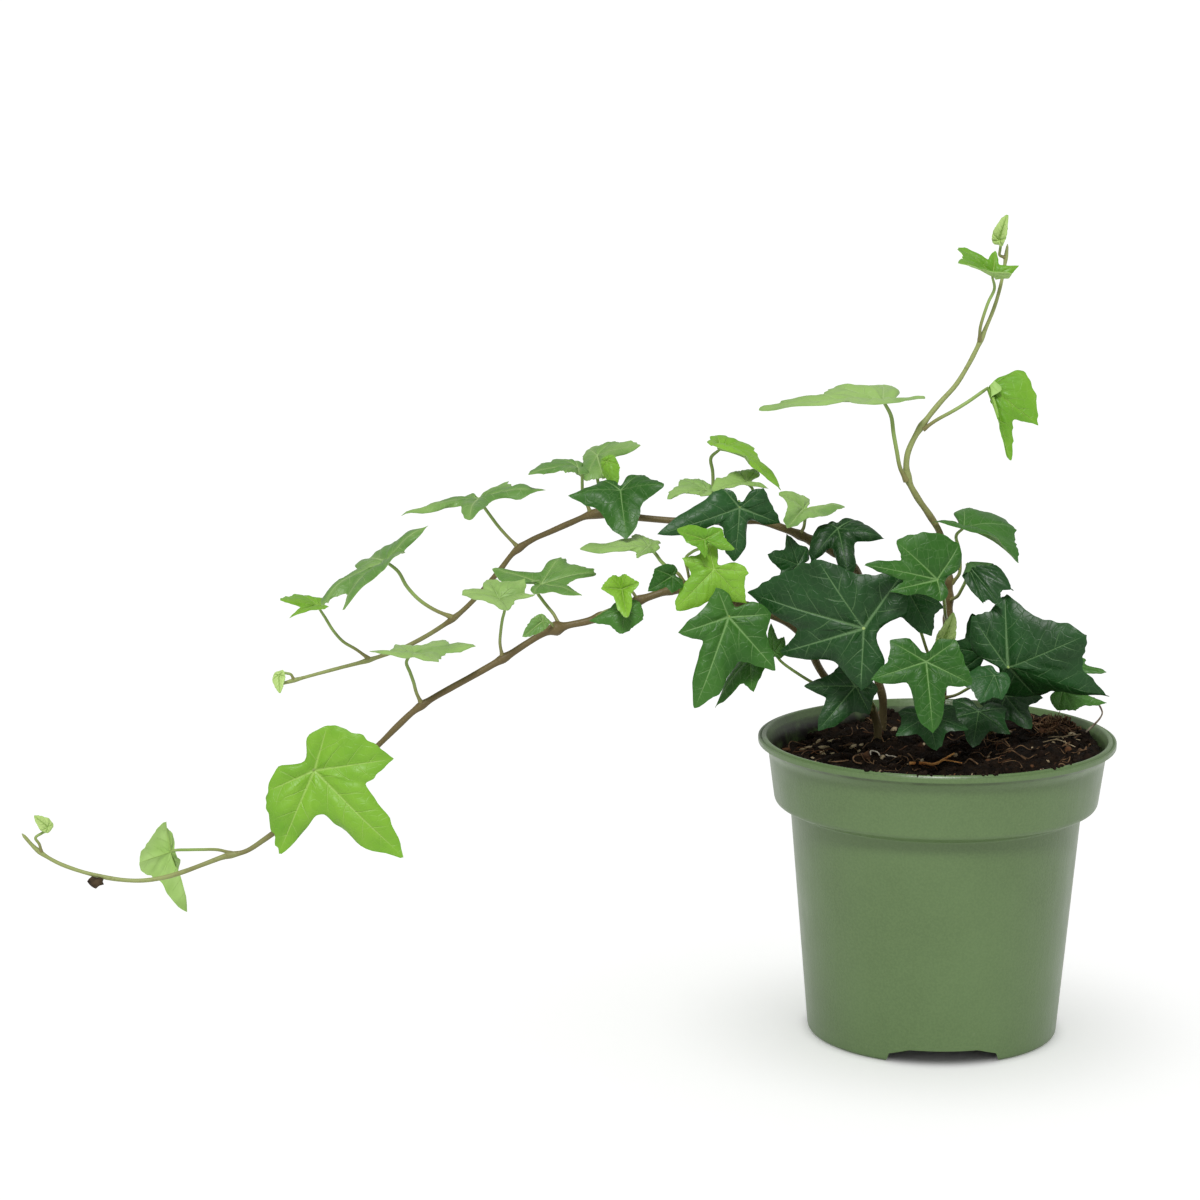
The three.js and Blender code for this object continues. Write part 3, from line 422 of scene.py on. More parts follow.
def vein_masks(paint):
    """Masks of the main veins, the side veins and the fine network, and the places they are made from."""
    along, across = paint.uv("vein")
    reach, share = paint.uv("reach")
    side = paint.math("ABSOLUTE", across)
    width = paint.times(paint.scaled(share, -VEIN_TAPER, 1.0), VEIN_WIDTH)
    main = paint.smooth(side, paint.times(width, 1.7), paint.times(width, 0.2))
    main = paint.times(main, paint.smooth(share, 1.0, 0.75))
    wander = paint.times(paint.noise(scale=130, detail=1), VEIN_WANDER)
    phase = paint.minus(along, paint.times(side, paint.scaled(side, VEIN_BEND, CHEVRON)))
    phase = paint.math("DIVIDE", paint.plus(phase, wander), VEIN_SPACING)
    phase = paint.scaled(paint.math("GREATER_THAN", across, 0.0), VEIN_STAGGER, phase)
    off = paint.math("ABSOLUTE", paint.minus(paint.math("FRACT", phase), 0.5))
    fade = paint.times(paint.smooth(side, 0.26, 0.06), paint.smooth(reach, 1.0, 0.7))
    second = paint.times(paint.smooth(off, 0.452, 0.492), fade)
    net = paint.smooth(paint.cells(420, "DISTANCE_TO_EDGE"), 0.07, 0.0)
    return main, second, net, side, reach


def leaf_top_material(slot):
    deep, fresh, vein, rim, _ = LEAF_LOOKS[slot]
    paint = Paint(slot + "_top", 0.4, 0.28)
    main, second, net, side, reach = vein_masks(paint)
    tone = paint.attribute("tone")
    patches = paint.scaled(tone, 0.3, paint.noise(scale=60, detail=3))
    blade = paint.mix(paint.smooth(patches, 0.25, 0.8), deep, fresh)
    blade = paint.mix(paint.smooth(tone, 1.0, BUD_TONE), blade, BUD_COLOUR)
    blade = paint.cover(blade, fresh, paint.smooth(side, 0.06, 0.0), share=0.3)
    blade = paint.cover(blade, vein, net, share=0.1)
    blade = paint.cover(blade, vein, second, share=0.4)
    blade = paint.cover(blade, rim, paint.smooth(reach, 0.95, 1.0), share=0.5)
    paint.set("Base Color", paint.cover(blade, vein, main, share=0.75))
    paint.set("Roughness", paint.scaled(paint.noise(scale=260, detail=2), 0.22, 0.3))
    heights = paint.scaled(main, -0.7, paint.times(second, -0.6))
    heights = paint.plus(heights, paint.times(net, -0.25))
    heights = paint.plus(heights, paint.times(paint.noise(scale=700, detail=3), 0.45))
    paint.bump(heights, distance=0.22 * MM, strength=0.8)
    return paint.material


def leaf_under_material(slot):
    _, fresh, vein, _, under = LEAF_LOOKS[slot]
    paint = Paint(slot + "_under", 0.6, 0.25)
    main, second, net, _, _ = vein_masks(paint)
    patches = paint.smooth(paint.noise(scale=90, detail=3), 0.35, 0.7)
    blade = paint.cover(under, fresh, patches, share=0.4)
    blade = paint.cover(blade, vein, net, share=0.1)
    veins = paint.math("MAXIMUM", main, paint.times(second, 0.5))
    paint.set("Base Color", paint.cover(blade, vein, veins, share=0.6))
    heights = paint.plus(veins, paint.times(paint.noise(scale=700, detail=2), 0.3))
    paint.bump(heights, distance=0.3 * MM, strength=0.7)
    return paint.material


def growth(paint, scale, detail):
    """0 where a stem or stalk is old, 1 at its young end, with a ragged change between."""
    return paint.plus(paint.attribute("growth"), paint.times(paint.noise(scale, detail), 0.3))


def stalk_material():
    """Leaf stalks: green, tinged with brown toward the stem."""
    paint = Paint("leaf_stalk", 0.42, 0.3)
    young = paint.smooth(growth(paint, scale=220, detail=2), 0.1, 0.8)
    paint.set("Base Color", paint.mix(young, "7a7548", "87a058"))
    ridges = paint.noise(scale=1500, detail=2, vector=paint.stretched(1, 1, 0.3))
    paint.bump(ridges, distance=0.12 * MM, strength=0.6)
    return paint.material


def bark_material():
    """Stems: brown where they are old, olive and then green toward the tip."""
    paint = Paint("ivy_bark", 0.45, 0.3)
    age = growth(paint, scale=120, detail=3)
    bark = paint.mix(paint.smooth(age, 0.2, 0.6), "5e5438", "625533")
    bark = paint.mix(paint.smooth(age, 0.82, 1.15), bark, "8a945a")
    specks = paint.smooth(paint.cells(700), 0.28, 0.16)
    bark = paint.cover(bark, "80714f", specks, share=0.3)
    cracks = paint.smooth(paint.noise(scale=420, detail=4), 0.6, 0.8)
    paint.set("Base Color", paint.cover(bark, "3a2218", cracks, share=0.3))
    ridges = paint.plus(paint.noise(scale=1300, detail=4), paint.times(specks, 0.6))
    paint.bump(ridges, distance=0.2 * MM, strength=0.8)
    return paint.material


def pot_material():
    """Satin sage green plastic: a faint mottle, flow streaks and dust, painted shade in the corner under
    the lip, soil stains with painted shade inside the collar, and painted shade under the floor and inside
    the foot.
    """
    paint = Paint("sage_plastic", 0.36)
    mottle = paint.smooth(paint.noise(scale=28, detail=4), 0.3, 0.72)
    streaks = paint.noise(scale=60, detail=3, vector=paint.stretched(4, 4, 0.35))
    grains = paint.smooth(paint.noise(scale=1500, detail=2), 0.35, 0.65)
    dust = paint.smooth(paint.noise(scale=420, detail=5), 0.66, 0.8)
    green = paint.mix(mottle, "4c6337", "536b3e")
    green = paint.cover(green, "5b764b", streaks, share=0.22)
    green = paint.cover(green, "627a4a", grains, share=0.3)
    green = paint.cover(green, "84906f", dust, share=0.14)
    # painted shade in the corner under the lip, broken into patches by noise
    painted_lip_shade = paint.times(paint.smooth(paint.noise(scale=190, detail=4), 0.1, 0.75), under_lip_shade_mask(paint))
    green = paint.cover(green, "2e3a1e", painted_lip_shade, share=0.75)
    # near-black over the inside of the collar (soil stains and painted shade) and under the floor (painted
    # shade)
    stain_and_shade_mask = paint.math("MAXIMUM", inside_stain_and_shade_mask(paint), underside_shade_mask(paint))
    soil_stain_and_shade = paint.times(paint.smooth(paint.noise(scale=170, detail=5), 0.22, 0.52), stain_and_shade_mask)
    paint.set("Base Color", paint.mix(soil_stain_and_shade, green, "15110b"))
    paint.set("Roughness", paint.scaled(paint.noise(scale=130, detail=4), 0.16, 0.27))
    grain = paint.plus(paint.noise(scale=1600, detail=3), paint.times(streaks, 1.5))
    paint.bump(grain, distance=0.12 * MM, strength=0.5)
    return paint.material


def from_axis(paint):
    """Distance from the pot's axis, and height."""
    x, y, z = paint.parts(paint.place)
    return paint.math("SQRT", paint.plus(paint.times(x, x), paint.times(y, y))), z


def under_lip_shade_mask(paint):
    """1 in the corner under the lip, where shade is painted."""
    z = from_axis(paint)[1]
    corner = POT_HEIGHT - LIP_HEIGHT
    above = paint.smooth(z, corner - 1.3 * MM, corner - 0.5 * MM)
    return paint.times(above, paint.smooth(z, corner + 0.15 * MM, corner))


def underside_shade_mask(paint):
    """1 under the pot's floor and on the inner face of the foot, where shade is painted."""
    radius, z = from_axis(paint)
    inner = paint.smooth(radius, BASE_RADIUS - 0.8 * MM, BASE_RADIUS - 1.6 * MM)
    return paint.times(inner, paint.smooth(z, FLOOR_HEIGHT + 0.6 * MM, FLOOR_HEIGHT))


def inside_stain_and_shade_mask(paint):
    """1 on the inside of the collar, 0 outside, where soil stains and painted shade go: the wall's middle
    widens toward the lip.
    """
    radius, z = from_axis(paint)
    slope = (COLLAR_TOP_RADIUS - COLLAR_BOTTOM_RADIUS) / (COLLAR_DEPTH - LIP_HEIGHT - LIP_FLARE)
    middle = paint.scaled(paint.minus(z, SHOULDER), slope, COLLAR_BOTTOM_RADIUS - WALL / 2)
    inner = paint.smooth(paint.minus(radius, middle), 0.1 * MM, -0.1 * MM)
    inner = paint.times(inner, paint.smooth(z, SHOULDER, SHOULDER + 2 * MM))
    below_lip = paint.smooth(z, POT_HEIGHT - 0.4 * LIP_HEIGHT, POT_HEIGHT - LIP_HEIGHT - LIP_FLARE)
    return paint.times(inner, below_lip)


def soil_material(name, dark, light):
    paint = Paint(name, 0.95, 0.1)
    clods = paint.smooth(paint.noise(scale=330, detail=5), 0.32, 0.7)
    crumbs = paint.smooth(paint.cells(800), 0.1, 0.6)
    paint.set("Base Color", paint.cover(paint.mix(clods, dark, light), dark, crumbs, share=0.5))
    paint.bump(paint.plus(paint.noise(scale=1100, detail=5), crumbs), distance=0.5 * MM, strength=1)
    return paint.material


def dry_material(name, dark, light):
    """Dead wood and fibres: streaked along a grain."""
    paint = Paint(name, 0.85, 0.2)
    grain = paint.noise(scale=500, detail=4, vector=paint.stretched(0.5, 1, 1))
    paint.set("Base Color", paint.mix(paint.smooth(grain, 0.3, 0.7), dark, light))
    paint.bump(grain, distance=0.3 * MM, strength=0.9)
    return paint.material


# ---- pot
POT_HEIGHT = 91 * MM
RIM_RADIUS = 53.5 * MM
COLLAR_TOP_RADIUS = 50.4 * MM
COLLAR_BOTTOM_RADIUS = 48.4 * MM
COLLAR_DEPTH = 20 * MM
BODY_TOP_RADIUS = 43.6 * MM
BASE_RADIUS = 37.6 * MM
WALL = 1.3 * MM
LIP_HEIGHT = 2.1 * MM
LIP_WIDTH = 2.4 * MM
LIP_FLARE = 2.8 * MM
LIP_STEP = 0.45 * MM  # how far the outer ridge of the lip lies below the inner one
FLOOR_HEIGHT = 6 * MM
FOOT_WIDTH = 3.4 * MM
FOOT_DRAFT = 0.8 * MM  # how much the feet widen upward
CENTRE_FOOT_RADIUS = 9 * MM
AXIS_GAP = 0.05 * MM  # the lathed outline stays this far off the axis
NOTCH_COUNT = 3
NOTCH_WIDTH = 34 * MM
NOTCH_SHOULDER_WIDTH = 31.6 * MM
NOTCH_SHOULDER = 2.7 * MM
NOTCH_TOP_WIDTH = 20 * MM
NOTCH_HEIGHT = 4.4 * MM
NOTCH_CUT = (20 * MM, 60 * MM)  # how far from the axis a notch's cutter starts and ends
DRAIN_COUNT = 6
DRAIN_RADIUS = 4 * MM
DRAIN_CIRCLE = 21 * MM
DRAIN_CUT = (1 * MM, 12 * MM)  # how high a drain hole's cutter starts and ends
DRAIN_SIDES = 24
POT_SIDES = 180
SHOULDER = POT_HEIGHT - COLLAR_DEPTH


def rounded_profile(corners, steps=4):
    """Rounds each corner (radius, height, rounding in millimetres) of a closed outline with a short arc."""
    outline = []
    for i, (r, z, rounding) in enumerate(corners):
        here = np.array([r, z])
        before = np.array(corners[i - 1][:2]) - here
        after = np.array(corners[(i + 1) % len(corners)][:2]) - here
        room = min(rounding * MM, 0.45 * np.linalg.norm(before), 0.45 * np.linalg.norm(after))
        if not room:
            outline.append(here)
            continue
        first = here + unit(before) * room
        last = here + unit(after) * room
        for t in np.linspace(0, 1, steps + 1):
            outline.append((1 - t) ** 2 * first + 2 * t * (1 - t) * here + t ** 2 * last)
    return outline


def pot_profile():
    """The wall cut through: out over the feet, up the outside, over the lip and down the inside."""
    foot_inside = BASE_RADIUS - FOOT_WIDTH
    lip_bottom = POT_HEIGHT - LIP_HEIGHT
    return rounded_profile([
        (AXIS_GAP, 0, 0),
        (CENTRE_FOOT_RADIUS, 0, 0.5),
        (CENTRE_FOOT_RADIUS + FOOT_DRAFT, FLOOR_HEIGHT, 0.4),
        (foot_inside - FOOT_DRAFT, FLOOR_HEIGHT, 0.4),
        (foot_inside, 0, 0.4),
        (BASE_RADIUS, 0, 1.4),
        (BODY_TOP_RADIUS, SHOULDER - 1.8 * MM, 0.8),
        (COLLAR_BOTTOM_RADIUS - 0.4 * MM, SHOULDER, 0.6),
        (COLLAR_BOTTOM_RADIUS + 0.1 * MM, SHOULDER + 1 * MM, 0.5),
        (COLLAR_TOP_RADIUS, lip_bottom - LIP_FLARE, 1),
        (RIM_RADIUS - 0.7 * MM, lip_bottom, 0.25),
        (RIM_RADIUS, lip_bottom + 0.1 * MM, 0.25),
        (RIM_RADIUS, POT_HEIGHT - LIP_STEP, 0.3),
        (RIM_RADIUS - 0.6 * MM, POT_HEIGHT - LIP_STEP, 0.2),
        (RIM_RADIUS - 0.9 * MM, POT_HEIGHT - 2 * LIP_STEP, 0.2),
        (RIM_RADIUS - 1.4 * MM, POT_HEIGHT, 0.3),
        (RIM_RADIUS - LIP_WIDTH, POT_HEIGHT, 0.7),
        (COLLAR_TOP_RADIUS - WALL, lip_bottom - LIP_FLARE, 1.2),
        (COLLAR_BOTTOM_RADIUS - WALL, SHOULDER + 1.4 * MM, 0.8),
        (BODY_TOP_RADIUS - WALL, SHOULDER - 2 * MM, 1),
        (BASE_RADIUS - WALL, FLOOR_HEIGHT + WALL, 1),
        (AXIS_GAP, FLOOR_HEIGHT + WALL, 0),
    ])


def cutters_around(count, first, second):
    """Copies of the solid between two outlines, spread evenly around the pot's axis."""
    points, faces = prism(first, second)
    cutters = []
    for turn in even_angles(count):
        c, s = math.cos(turn), math.sin(turn)
        turned = points @ np.array([[c, s, 0], [-s, c, 0], [0, 0, 1]])
        cutters.append(mesh_object("cutter", turned, faces, []))
    return cutters


def notch_cutters():
    """Wedges that open the foot; the first one at the front."""
    half = [(NOTCH_WIDTH / 2, -1 * MM), (NOTCH_SHOULDER_WIDTH / 2, NOTCH_SHOULDER),
            (NOTCH_TOP_WIDTH / 2, NOTCH_HEIGHT)]
    outline = half + [(-x, z) for x, z in half[::-1]]
    near, far = [[(x, -depth, z) for x, z in outline] for depth in NOTCH_CUT]
    return cutters_around(NOTCH_COUNT, near, far)


def drain_cutters():
    circle = level_ring(DRAIN_RADIUS, 0, DRAIN_SIDES) + (DRAIN_CIRCLE, 0, 0)
    low, high = [circle + (0, 0, height) for height in DRAIN_CUT]
    return cutters_around(DRAIN_COUNT, low, high)


def cut(piece, cutters):
    """Takes the cutters away from the piece and removes them."""
    for cutter in cutters:
        modifier = piece.modifiers.new("cut", "BOOLEAN")
        modifier.object = cutter
        modifier.operation = "DIFFERENCE"
        modifier.solver = "EXACT"
    bpy.context.view_layer.update()
    shape = bpy.data.meshes.new_from_object(piece.evaluated_get(bpy.context.evaluated_depsgraph_get()))
    piece.modifiers.clear()
    piece.data = shape
    for cutter in cutters:
        bpy.data.objects.remove(cutter)


def make_pot():
    pot = mesh_object("nursery_pot", *lathe(pot_profile(), POT_SIDES), [pot_material()])
    cut(pot, notch_cutters() + drain_cutters())
    pot.data.shade_smooth()
    sharpen(pot, 40)
    finish_piece(pot, "pot_plastic", "pot")


# ---- soil
SOIL_HEIGHT = 85 * MM
SOIL_RADIUS = 48.6 * MM
SOIL_SLOPE = (0.085, 0.05)  # how much it rises to the right and to the back
SINK = 0.8  # millimetres that it sinks at the wall
SINK_FROM = 0.93  # share of the radius where that starts
# Its outline below the surface: radius and height in millimetres.
SOIL_WALL = [(46.2, 73.5), (42, 70), (41.8, 66), (36, 8), (12, 7.8)]
SOIL_RINGS = 90
SOIL_SIDES = 220


def soil_level(x, y):
    """Height of the smooth surface: higher at the back right, lower at the front left."""
    a, b = x / MM, y / MM
    swell = 0.7 * np.sin(0.21 * a + 1) * np.cos(0.19 * b)
    lumps = 0.4 * np.sin(0.5 * a - 0.4 * b)
    return SOIL_HEIGHT + (SOIL_SLOPE[0] * a + SOIL_SLOPE[1] * b + swell + lumps) * MM


def soil_height(x, y):
    """Height of the surface with its clods, from large to small."""
    rough = 0.55 * wave_field(x, y, size=7 * MM, count=9, seed=1)
    rough = rough + 0.32 * wave_field(x, y, size=3.2 * MM, count=12, seed=2)
    rough = rough + 0.2 * np.abs(wave_field(x, y, size=1.6 * MM, count=14, seed=3))
    outer = np.clip((np.hypot(x, y) / SOIL_RADIUS - SINK_FROM) / (1 - SINK_FROM), 0, 1)
    return soil_level(x, y) + (rough - SINK * outer ** 2) * MM


def on_surface(points):
    """The points moved up or down onto the soil."""
    x, y = points[:, 0], points[:, 1]
    return np.column_stack([x, y, soil_height(x, y)])


def make_soil():
    rings = [on_surface(level_ring(SOIL_RADIUS * i / SOIL_RINGS, 0, SOIL_SIDES))
             for i in range(1, SOIL_RINGS + 1)]
    rings += [level_ring(radius * MM, height * MM, SOIL_SIDES) for radius, height in SOIL_WALL]
    middle = np.array([[0, 0, SOIL_WALL[-1][1] * MM]])
    points = np.vstack(rings + [on_surface(middle), middle])
    faces = inside_out(capped_faces(len(rings), SOIL_SIDES))
    soil = mesh_object("potting_soil", points, faces, [soil_material("dark_soil", "0c0805", "2b1f14")])
    finish_piece(soil, "potting_soil", "soil")


def on_soil(count, spread=0.96):
    """Random places on the soil."""
    radius = SOIL_RADIUS * spread * np.sqrt(random.uniform(0, 1, count))
    return on_surface(radius[:, None] * on_circle(random.uniform(0, FULL_TURN, count)))


def lifted(path):
    """A path of (across, away, above the soil) in millimetres, kept inside the wall."""
    x, y, lift = np.array(path, float).T * MM
    shrink = np.maximum(np.hypot(x, y) / (SOIL_RADIUS * 0.97), 1)
    return on_surface(np.column_stack([x / shrink, y / shrink])) + np.outer(lift, (0, 0, 1))


# ---- litter on the soil, in millimetres
DARK, PALE, BARK, FIBRE, ROOT = range(5)  # its looks
DRY_LOOKS = [("crumb_pale", "7d6d52", "b3a385"), ("crumb_bark", "2e1c10", "5a3c24"),
             ("crumb_fibre", "3a281a", "7a6044"), ("crumb_root", "a39a88", "cfc8ba")]
# Kinds of lumps: how many, smallest and largest radius, look.
LUMPS = [(620, 0.45, 1.5, DARK), (46, 0.5, 1.3, PALE), (26, 0.8, 2.2, BARK)]
# Wood chips, most of them by the left wall: across, away, length, width, heading in degrees.
CHIPS = [(-38, 17, 5.2, 1.5, 25), (-34, 21, 4.2, 1.2, 70), (-33, 14, 3.6, 1.3, -20), (-29, 24, 4.6, 1, 10),
         (-24, 12, 3.2, 1.1, 50), (-12, -36, 3.4, 1, 15), (22, -34, 3, 1.2, -35), (8, -28, 2.6, 1, 80)]
# Paths over the soil: across, away and above it.
WHITE_ROOTS = [[(-19.6, 1, 0.5), (-19.4, 3.2, 1.6), (-17.4, 3.8, 2), (-16.8, 1.6, 1)],
               [(-14.8, 3, 0.6), (-14.2, 0.6, 1.4), (-12.8, -1.6, 1.4), (-11.2, -3.4, 0.5)]]
GRASS = [[(34, 4, 0.4), (38, 2, 2.2), (43, -1, 1.2)], [(35, 1, 0.4), (39, 3.6, 2), (44, 5, 0.8)],
         [(36, 6, 0.3), (38, 1, 1.6), (38.5, -5, 0.5)], [(32, 0, 0.4), (36, -1.4, 1.4), (41, -5, 0.4)]]
ROOT_RADIUS = 0.24
GRASS_RADIUS = 0.17
# Fibres: greatest length and radius, two looks and the share of the first.
LOOSE = {"longest": 11, "thickest": 0.24, "looks": (FIBRE, BARK), "first": 0.6}
LOOSE_COUNT = 150
MOUND = {"longest": 9, "thickest": 0.22, "looks": (BARK, FIBRE), "first": 0.5}
MOUND_COUNT = 110
MOUND_PLACE = (38, 19)
MOUND_SPREAD = 4.2
MOUND_HEIGHT = 4.5
RIM_CRUMBS = (-23, -9, 11, 31)  # how far across groups of crumbs lie on the lip
CRUMBS_EACH = 6


class Litter:
    """One mesh gathered from many small closed shapes."""

    def __init__(self):
        self.points, self.faces, self.looks, self.count = [], [], [], 0
        self.ball, self.ball_faces = lump_shape()

    def add(self, points, faces, look):
        self.points.append(points)
        self.faces += [[self.count + v for v in face] for face in faces]
        self.looks += [look] * len(faces)
        self.count += len(points)

    def add_lump(self, centre, size, look):
        """A ball, dented, stretched and turned at random."""
        stretch = random.uniform(0.55, 1.25, 3)
        rough = 1 + 0.22 * np.sin(self.ball @ random.normal(0, 3.2, 3) + random.uniform(0, 6))
        rough += 0.14 * np.sin(self.ball @ random.normal(0, 6.5, 3))
        axes = np.linalg.qr(random.normal(0, 1, (3, 3)))[0]
        self.add(centre + ((self.ball * rough[:, None] * stretch) @ axes) * size, self.ball_faces, look)

    def add_chip(self, across, away, length, width, heading):
        """A flat splinter that leans a little."""
        turn = math.radians(heading)
        axes = np.array([[math.cos(turn), math.sin(turn), 0.12],
                         [-math.sin(turn), math.cos(turn), 0], [0, 0, 1]])
        rough = 1 + 0.25 * np.sin(self.ball @ random.normal(0, 3, 3))
        shape = self.ball * rough[:, None] * np.array([length / 2, width / 2, 0.5]) * MM
        self.add(lifted([(across, away, 0.5)]) + shape @ axes, self.ball_faces, PALE)

    def add_path(self, path, radius, look):
        points, faces, _ = tube(smooth_path(lifted(path), 4), radius * MM, 5)
        self.add(points, faces, look)

    def add_fibre(self, across, away, low, high, kind):
        """A bent fibre about this place, each bend between low and high above the soil."""
        length = random.uniform(3, kind["longest"])
        heading, bend = random.uniform(0, FULL_TURN), random.normal(0, 0.5)
        path = []
        for t in np.linspace(-0.5, 0.5, 5):
            turn = heading + 2 * bend * t
            path.append((across + length * t * math.cos(turn), away + length * t * math.sin(turn),
                         low + (high - low) * random.uniform()))
        radius = random.uniform(0.08, kind["thickest"])
        first, second = kind["looks"]
        self.add_path(path, radius, first if random.uniform() < kind["first"] else second)


def add_lumps(litter):
    for count, smallest, largest, look in LUMPS:
        for centre in on_soil(count):
            litter.add_lump(centre, MM * (smallest + (largest - smallest) * random.uniform() ** 2.2), look)


def add_fibres(litter):
    """Loose ones anywhere, and the little mound of them at the back right."""
    for across, away, _ in on_soil(LOOSE_COUNT) / MM:
        litter.add_fibre(across, away, 0.1, 1.3, LOOSE)
    for _ in range(MOUND_COUNT):
        across, away = MOUND_PLACE + random.normal(0, MOUND_SPREAD, 2)
        off = math.hypot(across - MOUND_PLACE[0], away - MOUND_PLACE[1]) / MOUND_SPREAD
        top = MOUND_HEIGHT * math.exp(-off * off / 2)
        litter.add_fibre(across, away, 0.2, 0.4 + top * random.uniform(), MOUND)


def add_rim_crumbs(litter):
    """Crumbs that lie on the lip at the front."""
    for across in RIM_CRUMBS:
        for _ in range(CRUMBS_EACH):
            x = (across + random.normal(0, 2.2)) * MM
            radius = RIM_RADIUS - LIP_WIDTH + random.uniform(0.2, 1) * MM
            size = random.uniform(0.25, 0.8) * MM
            centre = np.array([x, -math.sqrt(radius ** 2 - x ** 2), POT_HEIGHT + 0.3 * size])
            litter.add_lump(centre, size, DARK)


def make_crumbs():
    """Clods, wood chips, roots and fibres that lie on the soil."""
    litter = Litter()
    add_lumps(litter)
    for chip in CHIPS:
        litter.add_chip(*chip)
    add_fibres(litter)
    for path in WHITE_ROOTS:
        litter.add_path(path, ROOT_RADIUS, ROOT)
    for path in GRASS:
        litter.add_path(path, GRASS_RADIUS, PALE)
    add_rim_crumbs(litter)
    materials = [soil_material("crumb_dark", "0e0906", "30231a")]
    materials += [dry_material(*look) for look in DRY_LOOKS]
    crumbs = mesh_object("soil_crumbs", np.vstack(litter.points), litter.faces, materials, litter.looks)
    finish_piece(crumbs, "potting_soil")


# ---- stems
CAD_STEM_SIDES = 7
NODE_SWELL = 0.45  # how much thicker a stem is where a leaf stalk leaves it
NODE_LENGTH = 1.9 * MM
TIP_LENGTH = 1.2 * MM
# How much further on in its growing each stem is coloured: the upright one is green early.
STEM_YOUTH = {"stem_upright": 0.34, "stem_upper": 0.0, "stem_lower": 0.06, "stem_right": 0.25}
STEM_OF_LEAF = {"upright": "stem_upright", "crown": "stem_upright", "upper": "stem_upper",
                "lower": "stem_lower", "right": "stem_right"}


def make_stem(node, joints, bark):
    """A round stem with a swelling at each leaf. joints: where the leaf stalks come out of it."""
    centres, radii = read_tube(node, CAD_STEM_SIDES, lambda centre: math.hypot(*centre[:2]))
    path = smooth_path(centres, 7)
    radius = resampled(radii, len(path)) * 0.97
    distance = running_sum(step_lengths(path))
    for joint in joints:
        at = distance[np.argmin(np.linalg.norm(path - joint, axis=1))]
        radius = radius * (1 + NODE_SWELL * np.exp(-((distance - at) / NODE_LENGTH) ** 2))
    radius = radius * (1 + 0.05 * wave_field(distance, 0 * distance, 9 * MM, 5, seed=len(path)))
    tip = np.clip((distance[-1] - distance) / TIP_LENGTH, 0.05, 1) ** 0.5
    points, faces, along = tube(path, radius * tip, 14)
    youth = along / distance[-1] + STEM_YOUTH[node] * (along > 0)
    stem = mesh_object(node + "_bark", points, faces, [bark], values={"growth": youth})
    finish_piece(stem, "stem_bark", node)


# ---- leaves
CAD_STALK_SIDES = 5
SPOKES = 22
LOBES = (2, 6, 11, 16, 20)  # spokes that end in the tips of the five lobes
TIP = LOBES[2]
SECTOR_ENDS = (3.5, 8, 14, 18.5, 22)  # spokes where one lobe gives way to the next
HALF_WAY = 0.52  # where the CAD's middle ring of points lies
# How round the lobes end (0 is a sharp tip), how uneven the edge is and how wavy the blade.
LEAF_HABITS = {"leaf_dark": (0.3, 0.012, 0.017), "leaf_mid": (0.35, 0.015, 0.021),
               "leaf_lime": (0.8, 0.02, 0.024), "leaf_pale": (0.6, 0.026, 0.03)}
EDGE_WAVES = (13, 19, 24, 31)  # waves around the whole edge that add up to its frill
LARGE_LEAF = 22 * MM
LARGE_GRID = (6, 14)  # points from spoke to spoke, and from palm to edge
SMALL_GRID = (5, 8)
BLADE_THICKNESS = 0.35 * MM
# Heights and widths of the relief are shares of the leaf's length.
QUILT_HEIGHT = 0.012
VEIN_DEPTH = 0.028
GROOVE_END = 1.15  # how far along a sunk vein has risen to the surface
VALLEY_WIDTH = 0.05
EDGE_DROP = 0.014
UPPER, UNDER, STALK = range(3)  # looks of a leaf's faces
STALK_SINK = 0.6 * MM  # how far a stalk runs into its stem


def first_spoke(arms):
    """Which arm is spoke 0: the one from which the lobes' arms stand out most from those beside them."""
    reach = np.linalg.norm(arms, axis=1)
    peak = reach - np.maximum(np.roll(reach, 1), np.roll(reach, -1))
    return int(np.argmax([np.roll(peak, -start)[list(LOBES)].sum() for start in range(SPOKES)]))


def read_stalk(points, triangles, near, blade):
    """Centres and radii of a leaf stalk from the stem to the leaf, without its last ring."""
    caps = tube_caps(points, triangles, CAD_STALK_SIDES)
    start = next(ring for ring in caps if not ring & blade)
    return walk_tube(points, near, start, CAD_STALK_SIDES, blade)


def read_leaf(node):
    """The CAD leaf's palm, middle ring and edge from spoke 0 on, and its stalk."""
    points, triangles, near = welded(node)
    third = across_edges(triangles)
    for pole in [v for v in near if len(near[v]) == SPOKES]:
        follow = {v: third[pole, v] for v in near[pole]}
        ring = [next(iter(follow))]
        while len(ring) < SPOKES:
            ring.append(follow[ring[-1]])
        edge = [third.get((ring[i], ring[i - 1])) for i in range(SPOKES)]
        if None in edge or len(set(edge) | set(ring)) != 2 * SPOKES:
            continue
        start = first_spoke(points[edge] - points[pole])
        ring = ring[start:] + ring[:start]
        edge = edge[start:] + edge[:start]
        blade = {pole, *ring, *edge}
        blade |= {n for v in edge for n in near[v]}
        stalk = read_stalk(points, triangles, near, blade)
        return points[pole], points[ring], points[edge], stalk
    raise ValueError(node + " has no leaf palm")


def spread_flat(palm, ring, edge):
    """The middle ring and the edge laid out flat with the tip along X, and the spokes' angles."""
    near = np.linalg.norm(ring - palm, axis=1)
    far = near + np.linalg.norm(edge - ring, axis=1)
    spokes = unit(ring - palm)
    turns = np.arccos(np.clip((spokes * np.roll(spokes, -1, axis=0)).sum(1), -1, 1))
    angles = running_sum(turns[:-1]) * FULL_TURN / turns.sum()
    angles -= angles[TIP]
    heading = on_circle(angles)
    return heading * near[:, None], heading * far[:, None], angles


